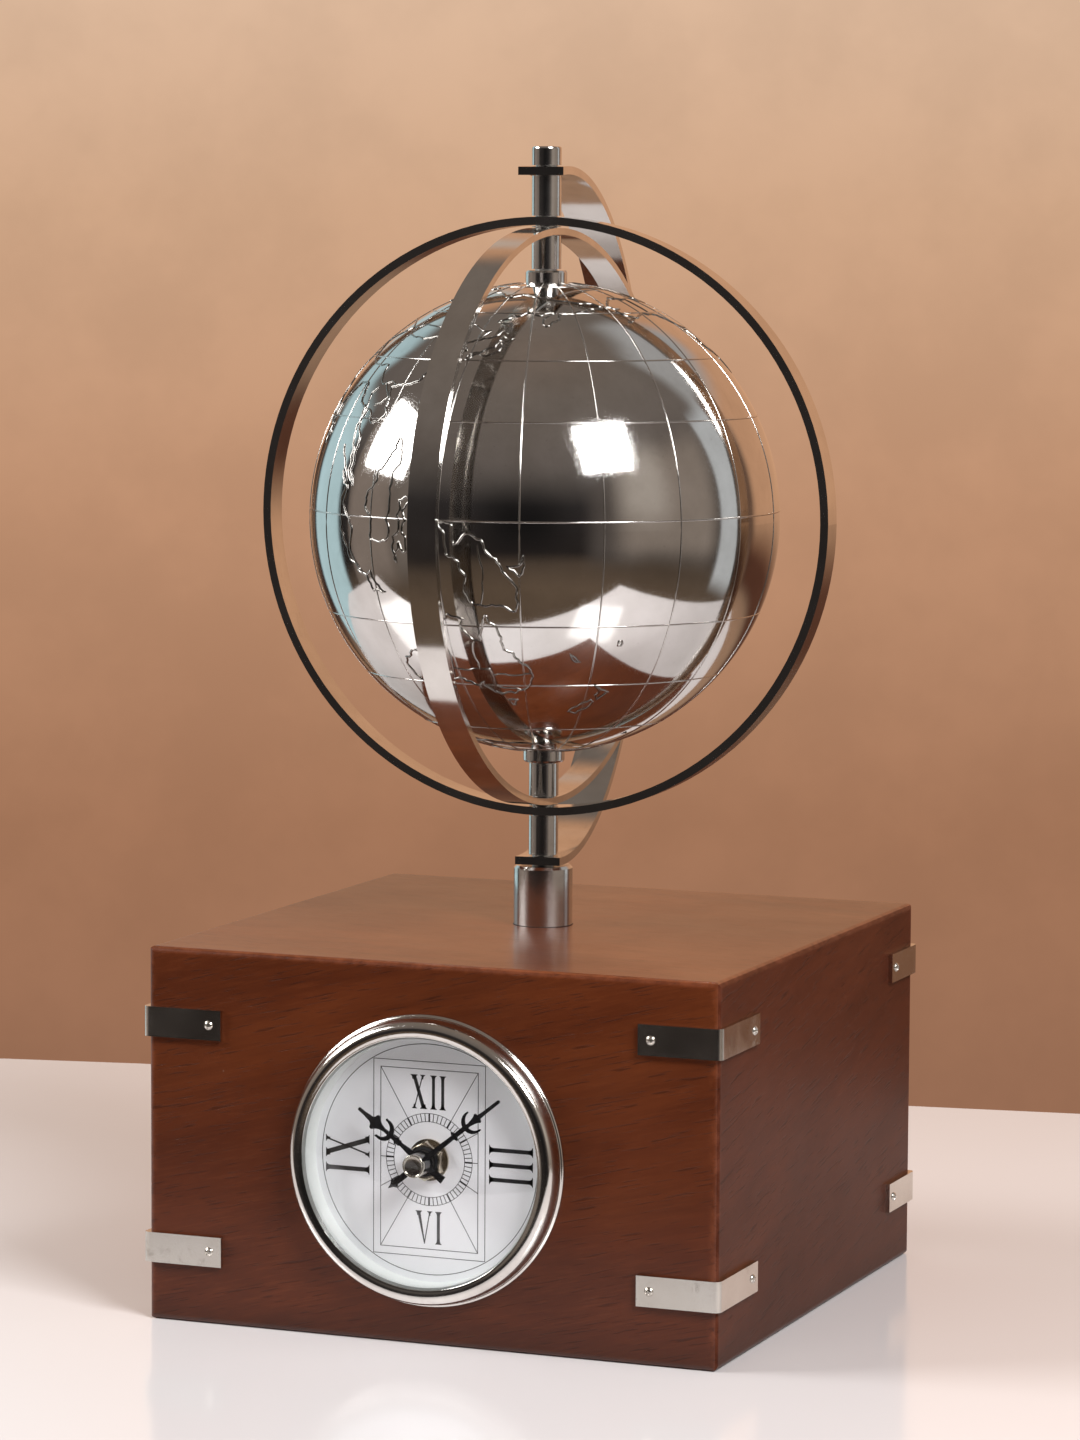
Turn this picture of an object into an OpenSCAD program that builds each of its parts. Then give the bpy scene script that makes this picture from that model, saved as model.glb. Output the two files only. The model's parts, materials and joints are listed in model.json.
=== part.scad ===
// Desk armillary: a hollow metal globe inside two nested rings and a half-round
// meridian band, all on one upright rod over a wooden box that holds a small
// quartz clock. Origin: centre of the box's underside, on the table. +Z is up
// and the clock looks along -Y.

/* [Box] */
// Width and depth of the square box
box_w = 160; // [150:1:170]
// Height of the box
box_h = 100; // [96:1:104]
// Thickness of the wooden walls and the top
wall_t = 9; // [8:0.5:10]
// Radius of the softened outer edges
edge_r = 1.6; // [1:0.1:2.5]
// Thickness of the removable bottom cover
cover_t = 6; // [5:0.5:7]

/* [Corner straps] */
// Height of a strap
strap_h = 8; // [6:0.5:9]
// Thickness of the strap metal
strap_t = 1.2; // [0.8:0.1:1.6]
// Length of the short leg, measured from the box corner
strap_short = 21.5; // [19:0.5:26]
// Length of the long leg, measured from the box corner
strap_long = 28; // [26:0.5:32]
// Underside height of the lower straps
strap_low_z = 15.6; // [12:0.2:20]
// Underside height of the upper straps
strap_high_z = 80.4; // [72:0.2:82]
// Underside height of the upper strap at the front left, fitted a little lower
strap_odd_z = 76.1; // [72:0.1:82]
// Radius of the strap screws' round heads
strap_screw_r = 1.25; // [1:0.05:1.5]

/* [Globe and rings] */
// Outer radius of the globe
globe_r = 63.5; // [62:0.5:64]
// Sheet thickness of the globe
globe_t = 1; // [0.8:0.1:1.2]
// Height of the globe's centre
globe_z = 211; // [211:1:211]
// Outer radius of the inner ring
inner_ring_r = 77.8; // [77.8:0.1:77.8]
// Outer radius of the outer ring
outer_ring_r = 80.8; // [80.8:0.1:80.8]
// Width of both rings
ring_w = 8; // [6:0.5:9]
// Outer radius of the meridian band
band_r = 94.3; // [94.3:0.1:94.3]
// Width of the meridian band
band_w = 12.5; // [10:0.5:14]
// Turn of the meridian band about the rod at rest, degrees
band_turn = 7.4; // [0:0.1:20]
// Turn of the two rings about the rod at rest, degrees
ring_turn = 2.3; // [0:0.1:10]

/* [Rod] */
// Radius of the threaded rod
rod_r = 3; // [2.8:0.1:3.2]
// Radial running clearance of everything that turns on the rod
run = 0.05; // [0.03:0.01:0.08]
// Radius of the spacer tubes and the finial
tube_r = 4; // [3.8:0.1:4.2]
// Radius of the ferrule on the box
ferrule_r = 8; // [7:0.1:9]

/* [Clock] */
// Height of the clock's centre
clock_z = 48.6; // [46:0.1:52]
// Radius of the bezel's flange
bezel_r = 38.4; // [38:0.1:40]
// Direction of the hour hand at rest, degrees clockwise from twelve
hour_turn = 305.9; // [0:0.1:360]
// Direction of the minute hand at rest, degrees clockwise from twelve
minute_turn = 51.1; // [0:0.1:360]

/* [Hidden] */
$fn = 96;
eps = 0.01;
hw = box_w / 2;
outer_ring_in = 78.6;
inner_ring_in = 76;
band_in = 92.1;
gz = globe_z;
front_y = -hw;
// Where the strap screws sit along a leg, measured from the box's mid plane
short_screw = hw - 18;
long_screw = hw - 24;
cover_screw = hw - wall_t - 8;

// A square with four rounded corners, centred
module rounded_square(w, d, r) {
  square([w - 2 * r, d], center = true);
  square([w, d - 2 * r], center = true);
  for (x = [-1, 1], y = [-1, 1])
    translate([x * (w / 2 - r), y * (d / 2 - r)]) circle(r);
}

// The box's outer form: every edge softened by the same radius
module box_form() {
  translate([0, 0, box_h / 2]) intersection() {
    linear_extrude(box_h, center = true) rounded_square(box_w, box_w, edge_r);
    rotate([90, 0, 0]) linear_extrude(box_w, center = true) rounded_square(box_w, box_h, edge_r);
    rotate([90, 0, 90]) linear_extrude(box_w, center = true) rounded_square(box_w, box_h, edge_r);
  }
}

// One side wall, mitred to its neighbours and to the top; modelled on the front
module wall_blank() {
  intersection() {
    box_form();
    linear_extrude(box_h) polygon([[-hw, -hw], [hw, -hw], [hw - 12, -hw + 12], [-hw + 12, -hw + 12]]);
    rotate([90, 0, 90]) linear_extrude(box_w, center = true)
      polygon([[-hw, 0], [-hw + wall_t, 0], [-hw + wall_t, box_h - wall_t], [-hw, box_h]]);
  }
}

// Small screw holes for the straps, as one set for the whole box
module strap_holes(r) {
  for (z = [strap_low_z, strap_high_z]) {
    fl = z == strap_high_z ? strap_odd_z : z;
    for (sx = [-1, 1]) {
      zc = (sx < 0 ? fl : z) + strap_h / 2;
      translate([sx * short_screw, -hw - strap_t, zc]) rotate([-90, 0, 0]) cylinder(r = r, h = 7);
      translate([sx * (hw + strap_t), -long_screw, zc]) rotate([0, -sx * 90, 0]) cylinder(r = r, h = 7);
      translate([sx * long_screw, hw + strap_t, z + strap_h / 2]) rotate([90, 0, 0]) cylinder(r = r, h = 7);
      translate([sx * (hw + strap_t), short_screw, z + strap_h / 2]) rotate([0, -sx * 90, 0]) cylinder(r = r, h = 7);
    }
  }
}

module top_panel() {
  color([0.45, 0.28, 0.18]) difference() {
    intersection() {
      box_form();
      rotate([90, 0, 90]) linear_extrude(box_w, center = true)
        polygon([[-hw, box_h], [hw, box_h], [hw - wall_t, box_h - wall_t], [-hw + wall_t, box_h - wall_t]]);
      rotate([90, 0, 0]) linear_extrude(box_w, center = true)
        polygon([[-hw, box_h], [hw, box_h], [hw - wall_t, box_h - wall_t], [-hw + wall_t, box_h - wall_t]]);
    }
    translate([0, 0, box_h - wall_t - 1]) cylinder(r = rod_r, h = wall_t + 2);
  }
}

// The front wall has a shallow round recess for the dial and a hole for the movement's post
module front_panel() {
  color([0.36, 0.17, 0.11]) difference() {
    wall_blank();
    strap_holes(0.7);
    translate([0, front_y - 1, clock_z]) rotate([-90, 0, 0]) cylinder(r = 35, h = 3.5, $fn = 180);
    translate([0, front_y - 1, clock_z]) rotate([-90, 0, 0]) cylinder(r = 4.4, h = wall_t + 2);
  }
}

module back_panel() {
  color([0.36, 0.17, 0.11]) difference() {
    rotate([0, 0, 180]) wall_blank();
    strap_holes(0.7);
  }
}

module left_panel() {
  color([0.33, 0.20, 0.15]) difference() {
    rotate([0, 0, -90]) wall_blank();
    strap_holes(0.7);
  }
}

module right_panel() {
  color([0.33, 0.20, 0.15]) difference() {
    rotate([0, 0, 90]) wall_blank();
    strap_holes(0.7);
  }
}

// Four glue blocks in the inner corners; the bottom cover screws into them
module corner_blocks() {
  s = 16;
  color([0.62, 0.45, 0.28]) difference() {
    for (x = [-1, 1], y = [-1, 1])
      translate([x * (hw - wall_t - s / 2), y * (hw - wall_t - s / 2), cover_t])
        translate([-s / 2, -s / 2, 0]) cube([s, s, box_h - wall_t - cover_t]);
    for (x = [-1, 1], y = [-1, 1])
      translate([x * cover_screw, y * cover_screw, cover_t - 1]) cylinder(r = 1.5, h = 15);
  }
}

module bottom_cover() {
  w = box_w - 2 * wall_t - 0.4;
  color([0.40, 0.27, 0.19]) difference() {
    linear_extrude(cover_t) square([w, w], center = true);
    for (x = [-1, 1], y = [-1, 1]) translate([x * cover_screw, y * cover_screw, 0]) {
      translate([0, 0, -1]) cylinder(r = 1.5, h = cover_t + 2);
      translate([0, 0, -eps]) cylinder(r1 = 3.3 + eps, r2 = 1.5, h = 1.8 + eps);
    }
  }
}

// Countersunk wood screws, heads just under the cover's face
module bottom_cover_screws() {
  color([0.75, 0.73, 0.70])
    for (x = [-1, 1], y = [-1, 1]) translate([x * cover_screw, y * cover_screw, 0])
      difference() {
        rotate_extrude() polygon([[0, 0.3], [3, 0.3], [1.5, 1.8], [1.5, 17], [0.9, 18.6], [0, 19.4]]);
        for (a = [0, 90]) rotate([0, 0, a]) translate([-1.7, -0.35, 0]) cube([3.4, 0.7, 1.2]);
      }
}

// One bent strap for the front right corner: short leg on the front, long leg on the side
module strap_blank(z) {
  o = hw + strap_t;
  difference() {
    translate([0, 0, z]) linear_extrude(strap_h) difference() {
      intersection() {
        rounded_square(2 * o, 2 * o, 1.8);
        union() {
          translate([hw - strap_short, -o]) square([strap_short + strap_t, strap_t + 2]);
          translate([hw - 1, -o]) square([strap_t + 1, strap_long + strap_t]);
        }
      }
      rounded_square(box_w, box_w, edge_r);
    }
    translate([0, 0, z + strap_h / 2]) {
      translate([short_screw, -o - 1, 0]) rotate([-90, 0, 0]) cylinder(r = 0.7, h = 4);
      translate([o + 1, -long_screw, 0]) rotate([0, -90, 0]) cylinder(r = 0.7, h = 4);
    }
  }
}

module strap_metal() { color([0.78, 0.77, 0.75]) children(); }
module strap_front_right_upper() { strap_metal() strap_blank(strap_high_z); }
module strap_front_right_lower() { strap_metal() strap_blank(strap_low_z); }
module strap_front_left_upper() { strap_metal() mirror([1, 0, 0]) strap_blank(strap_odd_z); }
module strap_front_left_lower() { strap_metal() mirror([1, 0, 0]) strap_blank(strap_low_z); }
module strap_back_right_upper() { strap_metal() rotate([0, 0, 90]) strap_blank(strap_high_z); }
module strap_back_right_lower() { strap_metal() rotate([0, 0, 90]) strap_blank(strap_low_z); }
module strap_back_left_upper() { strap_metal() rotate([0, 0, -90]) mirror([1, 0, 0]) strap_blank(strap_high_z); }
module strap_back_left_lower() { strap_metal() rotate([0, 0, -90]) mirror([1, 0, 0]) strap_blank(strap_low_z); }

// A round-head screw; its head sits on the plane z = 0 and the shank runs to -z
module strap_screw() {
  h = 0.75;
  rr = (strap_screw_r * strap_screw_r + h * h) / (2 * h);
  intersection() {
    translate([0, 0, h - rr]) sphere(rr);
    cylinder(r = strap_screw_r, h = h);
  }
  translate([0, 0, -6.5]) cylinder(r = 0.7, h = 6.5 + eps);
}

module strap_screws() {
  o = hw + strap_t;
  color([0.80, 0.79, 0.77])
    for (z = [strap_low_z, strap_high_z]) {
      fl = z == strap_high_z ? strap_odd_z : z;
      for (sx = [-1, 1]) {
        zc = (sx < 0 ? fl : z) + strap_h / 2;
        translate([sx * short_screw, -o, zc]) rotate([90, 0, 0]) strap_screw();
        translate([sx * o, -long_screw, zc]) rotate([0, sx * 90, 0]) strap_screw();
        translate([sx * long_screw, o, z + strap_h / 2]) rotate([-90, 0, 0]) strap_screw();
        translate([sx * o, short_screw, z + strap_h / 2]) rotate([0, sx * 90, 0]) strap_screw();
      }
    }
}

// A plain tube that sits fast on the rod
module spacer(z0, z1, r = tube_r) {
  color([0.82, 0.82, 0.82]) difference() {
    translate([0, 0, z0]) cylinder(r = r, h = z1 - z0);
    translate([0, 0, z0 - 1]) cylinder(r = rod_r, h = z1 - z0 + 2);
  }
}

module ferrule() {
  color([0.80, 0.80, 0.80]) difference() {
    translate([0, 0, box_h]) rotate_extrude()
      polygon([[0, 0], [ferrule_r, 0], [ferrule_r, 15.6], [ferrule_r - 0.7, 16.3], [0, 16.3]]);
    translate([0, 0, box_h - 1]) cylinder(r = rod_r, h = 20);
  }
}

module central_rod() {
  color([0.70, 0.70, 0.70]) difference() {
    translate([0, 0, 80]) cylinder(r = rod_r, h = 228);
    for (a = [1]) translate([0, 0, 79]) difference() { cylinder(r = rod_r + 1, h = 1.6); cylinder(r1 = rod_r - 0.6, r2 = rod_r, h = 1.6); }
  }
}

module rod_washer() {
  color([0.72, 0.72, 0.70]) difference() {
    translate([0, 0, box_h - wall_t - 1.6]) cylinder(r = 9, h = 1.6);
    translate([0, 0, box_h - wall_t - 3]) cylinder(r = rod_r, h = 5);
  }
}

module rod_nut() {
  color([0.70, 0.70, 0.68]) difference() {
    translate([0, 0, box_h - wall_t - 6.6]) cylinder(r = 5.77, h = 5, $fn = 6);
    translate([0, 0, box_h - wall_t - 8]) cylinder(r = rod_r, h = 8);
  }
}

module lower_spacer() { spacer(119.2, 129.95); }
module lower_pivot_washer() { spacer(132.7, 133.0, 3.9); }
module lower_globe_spacer() { spacer(135.3, 144.2); }
module upper_globe_spacer() { spacer(277.8, 286.7); }
module upper_pivot_washer() { spacer(289.0, 289.3, 3.9); }
module upper_spacer() { spacer(292.05, 302.75); }

// Capped tube on the rod's end, with a softened rim
module finial() {
  color([0.82, 0.82, 0.82]) difference() {
    translate([0, 0, 305.55]) rotate_extrude()
      polygon([[0, 0], [tube_r, 0], [tube_r, 4.5], [tube_r - 0.12, 4.8], [tube_r - 0.45, 5.0], [0, 5.05]]);
    translate([0, 0, 304]) cylinder(r = rod_r, h = 4);
  }
}

// ---- Clock: local x right, y up, z out of the box's front face ----
module on_front(h = 0) {
  translate([0, front_y - h, clock_z]) rotate([90, 0, 0]) children();
}

module bezel() {
  color([0.84, 0.84, 0.84]) on_front() rotate_extrude($fn = 180)
    polygon([[34.5, -1.45], [34.95, -1.45], [34.95, 0], [bezel_r, 0], [bezel_r, 0.9], [bezel_r - 0.3, 1.2],
      [37.75, 1.3], [37.6, 1.6], [37.5, 2.5], [37.25, 3.8], [36.85, 4.8], [36.25, 5.5], [35.5, 5.92],
      [34.8, 6.0], [34.1, 5.92], [33.5, 5.75], [33.05, 5.62], [33.05, 5.55], [34.5, 5.55]]);
}

// White ring between the dial and the glass
module rehaut_ring() {
  color([0.93, 0.93, 0.92]) on_front() rotate_extrude($fn = 180)
    polygon([[32.2, -1.5], [34.4, -1.5], [34.4, 3.78], [32.55, 4.5]]);
}

// Domed glass, held between the rehaut ring and the bezel's lip
module lens() {
  color([0.9, 0.95, 0.97, 0.35]) on_front() difference() {
    intersection() {
      translate([0, 0, -75.2]) sphere(87.2, $fn = 180);
      cylinder(r = 34.4, h = 14, $fn = 180);
    }
    translate([0, 0, -75.2]) sphere(86.2, $fn = 180);
  }
}

module dial() {
  color([0.92, 0.92, 0.93]) on_front(-2.5) difference() {
    cylinder(r = 34.4, h = 1, $fn = 180);
    translate([0, 0, -1]) cylinder(r = 4.1, h = 3);
  }
}

module dial_washer() {
  color([0.72, 0.68, 0.60]) on_front(-1.5) difference() {
    cylinder(r = 5.5, h = 0.6);
    translate([0, 0, -1]) cylinder(r = 3.9, h = 3);
  }
}

module dial_nut() {
  color([0.76, 0.72, 0.64]) on_front(-0.9) difference() {
    intersection() {
      rotate([0, 0, 30]) cylinder(r = 5.2, h = 2.9, $fn = 6);
      rotate_extrude() polygon([[0, 0], [5.25, 0], [5.25, 2.2], [4.4, 2.9], [0, 2.9]]);
    }
    translate([0, 0, -1]) cylinder(r = 3.9, h = 5);
  }
}

// Moulded case of the movement, with its fixing post and a bay for the cell
module movement_case() {
  w = 56;
  color([0.16, 0.16, 0.17]) difference() {
    union() {
      on_front(-25.8) linear_extrude(16) translate([0, 0]) rounded_square(w, w, 3);
      on_front(-12) cylinder(r = 3.9, h = 14);
    }
    on_front(-26.8) linear_extrude(15.5) translate([0, 8.9]) square([53, 35.2], center = true);
    on_front(-26.8) linear_extrude(15.9) translate([0, -18.4]) square([52, 16.2], center = true);
    on_front(-14) cylinder(r = 2.45, h = 20);
  }
}

module movement_cover() {
  color([0.20, 0.20, 0.21]) on_front(-25.8) difference() {
    linear_extrude(1.4) translate([0, 8.9]) square([53, 35.2], center = true);
    translate([12, 13.4, -1]) cylinder(r = 1.55, h = 4);
  }
}

module movement_gasket() {
  color([0.10, 0.10, 0.10]) on_front(-9.8) difference() {
    cylinder(r = 12, h = 0.8);
    translate([0, 0, -1]) cylinder(r = 3.9, h = 3);
  }
}

// One AA cell lying across the case
module battery() {
  color([0.75, 0.62, 0.35]) translate([0, front_y + 18, clock_z - 18.4]) rotate([0, 90, 0]) {
    translate([0, 0, -24.5]) cylinder(r = 7.1, h = 48);
    translate([0, 0, 23.4]) cylinder(r = 2.7, h = 1.3);
  }
}

// Hollow shaft and wheel that carry the hour hand
module hour_pipe() {
  color([0.80, 0.70, 0.45]) on_front() difference() {
    union() {
      translate([0, 0, -13]) cylinder(r = 2.4, h = 17.2);
      translate([0, 0, -13]) cylinder(r = 6, h = 1.2);
    }
    translate([0, 0, -14]) cylinder(r = 1.55, h = 20);
  }
}

// Shaft and wheel that carry the minute hand
module minute_arbor() {
  color([0.80, 0.70, 0.45]) on_front() {
    translate([0, 0, -16]) cylinder(r = 1.5, h = 24);
    translate([0, 0, -16]) cylinder(r = 7, h = 1.2);
  }
}

// A strip of varying half width along the hand: list of [distance, half width]
module blade(p) {
  polygon(concat([for (q = p) [q[1], q[0]]], [for (i = [len(p) - 1:-1:0]) [-p[i][1], p[i][0]]]));
}

// A crescent open towards the tip
module crescent(c, ro, shift, ri, top) {
  difference() {
    translate([0, c]) circle(ro);
    translate([0, c + shift]) circle(ri);
    translate([-ro - 1, top]) square([2 * ro + 2, 2 * ro]);
  }
}

module hour_hand() {
  color([0.05, 0.05, 0.05]) on_front() rotate([0, 0, -hour_turn]) difference() {
    union() {
      translate([0, 0, 2.9]) linear_extrude(0.35) {
        blade([[-7.2, 1.05], [-3, 0.85], [0, 1], [3.5, 0.95], [7.4, 0.5], [8, 0.85], [8.4, 0.7], [9, 1.15],
          [9.5, 0.6], [10.9, 0.55], [12, 0.5], [13.2, 0.45], [14.6, 0.8], [15.4, 1.3], [16.3, 2.2],
          [16.9, 2.05], [17.3, 1.15], [17.8, 0.8], [20, 0.5], [22, 0.42], [22.2, 0.25]]);
        crescent(13.4, 2.95, 0.75, 2.35, 14.3);
        for (s = [-1, 1]) translate([s * 2.72, 14.25]) circle(0.28);
      }
      translate([0, 0, 2.3]) cylinder(r = 3.4, h = 1.9);
    }
    cylinder(r = 2.4, h = 8);
  }
}

module minute_hand() {
  color([0.06, 0.06, 0.06]) on_front() rotate([0, 0, -minute_turn]) difference() {
    union() {
      translate([0, 0, 5.15]) linear_extrude(0.35) {
        blade([[-11, 0.05], [-9.6, 0.6], [-8.6, 1.55], [-8.2, 0.8], [-3, 0.85], [0, 1], [4, 0.8], [12.2, 0.6],
          [12.6, 1.4], [12.9, 1.35], [13.3, 0.65], [16.2, 0.65], [18, 0.5], [19.4, 0.75], [20.4, 1.05],
          [21, 1.4], [21.3, 1.2], [21.5, 0.62], [24, 0.5], [28.5, 0.46], [28.8, 0.25]]);
        crescent(19.1, 3.02, 0.65, 2.5, 19.6);
        for (s = [-1, 1]) translate([s * 2.76, 19.6]) circle(0.27);
      }
      translate([0, 0, 4.5]) cylinder(r = 3.05, h = 3.5);
    }
    cylinder(r = 1.5, h = 12);
  }
}

// Round cap over the end of the hand stack, face slightly dished
module hand_cap() {
  color([0.83, 0.81, 0.76]) on_front(8) rotate_extrude()
    polygon([[0, 0], [3.05, 0], [3.05, 0.95], [2.9, 1.25], [2.65, 1.3], [2.45, 1.15], [1.2, 0.95], [0, 0.9]]);
}

module set_knob() {
  color([0.25, 0.25, 0.26]) on_front(-25.8) translate([12, 13.4, 0]) {
    translate([0, 0, -0.4]) cylinder(r = 1.5, h = 5);
    difference() {
      translate([0, 0, -4.4]) cylinder(r = 5, h = 4);
      for (a = [0:30:330]) rotate([0, 0, a]) translate([5.4, 0, -5]) cylinder(r = 0.8, h = 6);
    }
  }
}

// ---- Globe and rings ----
module globe_shell(up) {
  difference() {
    translate([0, 0, gz]) sphere(globe_r, $fn = 180);
    translate([0, 0, gz]) sphere(globe_r - globe_t, $fn = 180);
    translate([-100, -100, up ? gz - 200 : gz]) cube([200, 200, 200]);
    translate([0, 0, gz - 100]) cylinder(r = 4.4, h = 200);
  }
}

module globe_north() { color([0.80, 0.80, 0.80]) globe_shell(true); }
module globe_south() { color([0.78, 0.78, 0.78]) globe_shell(false); }

// Band inside the equator that joins the two halves
module globe_joint_ring() {
  color([0.65, 0.65, 0.65]) difference() {
    intersection() {
      translate([0, 0, gz]) sphere(globe_r - globe_t, $fn = 180);
      translate([0, 0, gz - 4]) cylinder(r = globe_r, h = 8, $fn = 180);
    }
    translate([0, 0, gz - 5]) cylinder(r = globe_r - globe_t - 1.2, h = 10, $fn = 180);
  }
}

// Flanged bush in the globe's pole; s = -1 below, 1 above
module pole_collar(s) {
  translate([0, 0, gz]) mirror([0, 0, s < 0 ? 1 : 0]) difference() {
    union() {
      difference() {
        translate([0, 0, 62]) rotate_extrude()
          polygon([[0, 0], [5.6, 0], [5.6, 3.9], [5.2, 4.4], [0, 4.4]]);
        sphere(globe_r, $fn = 180);
      }
      translate([0, 0, 60.5]) cylinder(r = 4.4, h = 4);
    }
    translate([0, 0, 50]) cylinder(r = rod_r + run, h = 30);
  }
}

module globe_collar_lower() { color([0.75, 0.75, 0.74]) pole_collar(-1); }
module globe_collar_upper() { color([0.75, 0.75, 0.74]) pole_collar(1); }

// A flat hoop whose axis is +Y, with a hole for the rod at each pole
module hoop(ro, ri, w) {
  difference() {
    translate([0, 0, gz]) rotate([90, 0, 0]) difference() {
      cylinder(r = ro, h = w, center = true, $fn = 240);
      cylinder(r = ri, h = w + 2, center = true, $fn = 240);
    }
    translate([0, 0, gz - 120]) cylinder(r = rod_r + run, h = 240);
  }
}

module outer_ring() { color([0.74, 0.74, 0.75]) rotate([0, 0, ring_turn]) hoop(outer_ring_r, outer_ring_in, ring_w); }
module inner_ring() { color([0.80, 0.80, 0.80]) rotate([0, 0, 90 - ring_turn]) hoop(inner_ring_r, inner_ring_in, ring_w); }

// Half hoop behind the globe; its square ends run a little past the rod
module meridian_band() {
  color([0.82, 0.78, 0.74]) rotate([0, 0, band_turn]) intersection() {
    rotate([0, 0, 90]) hoop(band_r, band_in, band_w);
    translate([-50, -6.5, 0]) cube([100, 200, 400]);
  }
}

top_panel();
front_panel();
back_panel();
left_panel();
right_panel();
corner_blocks();
bottom_cover();
bottom_cover_screws();
strap_front_left_upper();
strap_front_left_lower();
strap_front_right_upper();
strap_front_right_lower();
strap_back_left_upper();
strap_back_left_lower();
strap_back_right_upper();
strap_back_right_lower();
strap_screws();
ferrule();
central_rod();
rod_washer();
rod_nut();
lower_spacer();
lower_pivot_washer();
lower_globe_spacer();
upper_globe_spacer();
upper_pivot_washer();
upper_spacer();
finial();
bezel();
rehaut_ring();
lens();
dial();
dial_washer();
dial_nut();
movement_case();
movement_cover();
movement_gasket();
battery();
hour_pipe();
hour_hand();
minute_arbor();
minute_hand();
hand_cap();
set_knob();
globe_north();
globe_south();
globe_joint_ring();
globe_collar_lower();
globe_collar_upper();
outer_ring();
inner_ring();
meridian_band();
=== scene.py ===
"""Looks of the armillary sphere: a mirror globe in rings on a wooden clock box."""
import json
import math
import random

import bpy
import numpy as np
from mathutils import Matrix, Vector


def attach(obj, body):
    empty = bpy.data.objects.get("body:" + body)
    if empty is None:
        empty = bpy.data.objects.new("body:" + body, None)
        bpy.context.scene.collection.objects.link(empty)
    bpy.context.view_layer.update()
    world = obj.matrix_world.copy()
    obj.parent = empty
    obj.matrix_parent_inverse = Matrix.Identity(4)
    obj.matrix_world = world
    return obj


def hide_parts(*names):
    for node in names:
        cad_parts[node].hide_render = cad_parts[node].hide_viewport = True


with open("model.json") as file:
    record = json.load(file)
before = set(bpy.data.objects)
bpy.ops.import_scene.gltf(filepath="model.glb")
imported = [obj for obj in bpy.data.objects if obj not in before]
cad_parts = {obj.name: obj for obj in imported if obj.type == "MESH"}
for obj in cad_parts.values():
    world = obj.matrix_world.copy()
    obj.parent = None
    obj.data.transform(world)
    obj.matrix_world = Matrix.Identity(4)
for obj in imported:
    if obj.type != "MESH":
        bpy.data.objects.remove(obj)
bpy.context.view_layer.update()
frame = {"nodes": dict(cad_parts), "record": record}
NODES = frame["nodes"]
scene = bpy.context.scene
MM = 0.001
GLOBE_Z = 211.0
GLOBE_R = 63.5
CLOCK_Z = 48.6
FRONT_Y = -80.0

scene.view_settings.view_transform = "Standard"
scene.view_settings.look = "None"
scene.view_settings.exposure = 0.0
scene.view_settings.gamma = 1.0


# ---------------------------------------------------------------- mesh help
def make_mesh(name, verts, faces, mat, smooth=True, sharp=None):
    """One mesh object from points in millimetres."""
    me = bpy.data.meshes.new(name)
    me.from_pydata([(x * MM, y * MM, z * MM) for x, y, z in verts], [], faces)
    me.validate()
    me.update()
    ob = bpy.data.objects.new(name, me)
    scene.collection.objects.link(ob)
    me.materials.append(mat)
    if smooth:
        for p in me.polygons:
            p.use_smooth = True
        if sharp is not None:
            me.set_sharp_from_angle(angle=math.radians(sharp))
    return ob


def bevel(ob, width, angle=35, segments=2):
    m = ob.modifiers.new("edge", "BEVEL")
    m.width = width * MM
    m.segments = segments
    m.limit_method = "ANGLE"
    m.angle_limit = math.radians(angle)
    m.use_clamp_overlap = True
    return m


class Build:
    """Collects points and faces of several shapes for one mesh."""

    def __init__(self):
        self.v = []
        self.f = []

    def add(self, verts, faces):
        k = len(self.v)
        self.v.extend(verts)
        self.f.extend([tuple(i + k for i in q) for q in faces])


def front(x, z, h):
    """A point of the clock: x right, z up from its centre, h out of the box."""
    return (x, FRONT_Y - h, CLOCK_Z + z)


def lathe_front(profile, seg=240, closed=True):
    """Turns a closed profile of (radius, height) about the clock's axis."""
    verts, faces = [], []
    n = len(profile)
    for i in range(seg):
        a = 2 * math.pi * i / seg
        for r, h in profile:
            verts.append(front(r * math.sin(a), r * math.cos(a), h))
    for i in range(seg):
        j = (i + 1) % seg
        for k in range(n if closed else n - 1):
            l = (k + 1) % n
            faces.append((i * n + k, j * n + k, j * n + l, i * n + l))
    return verts, faces


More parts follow.
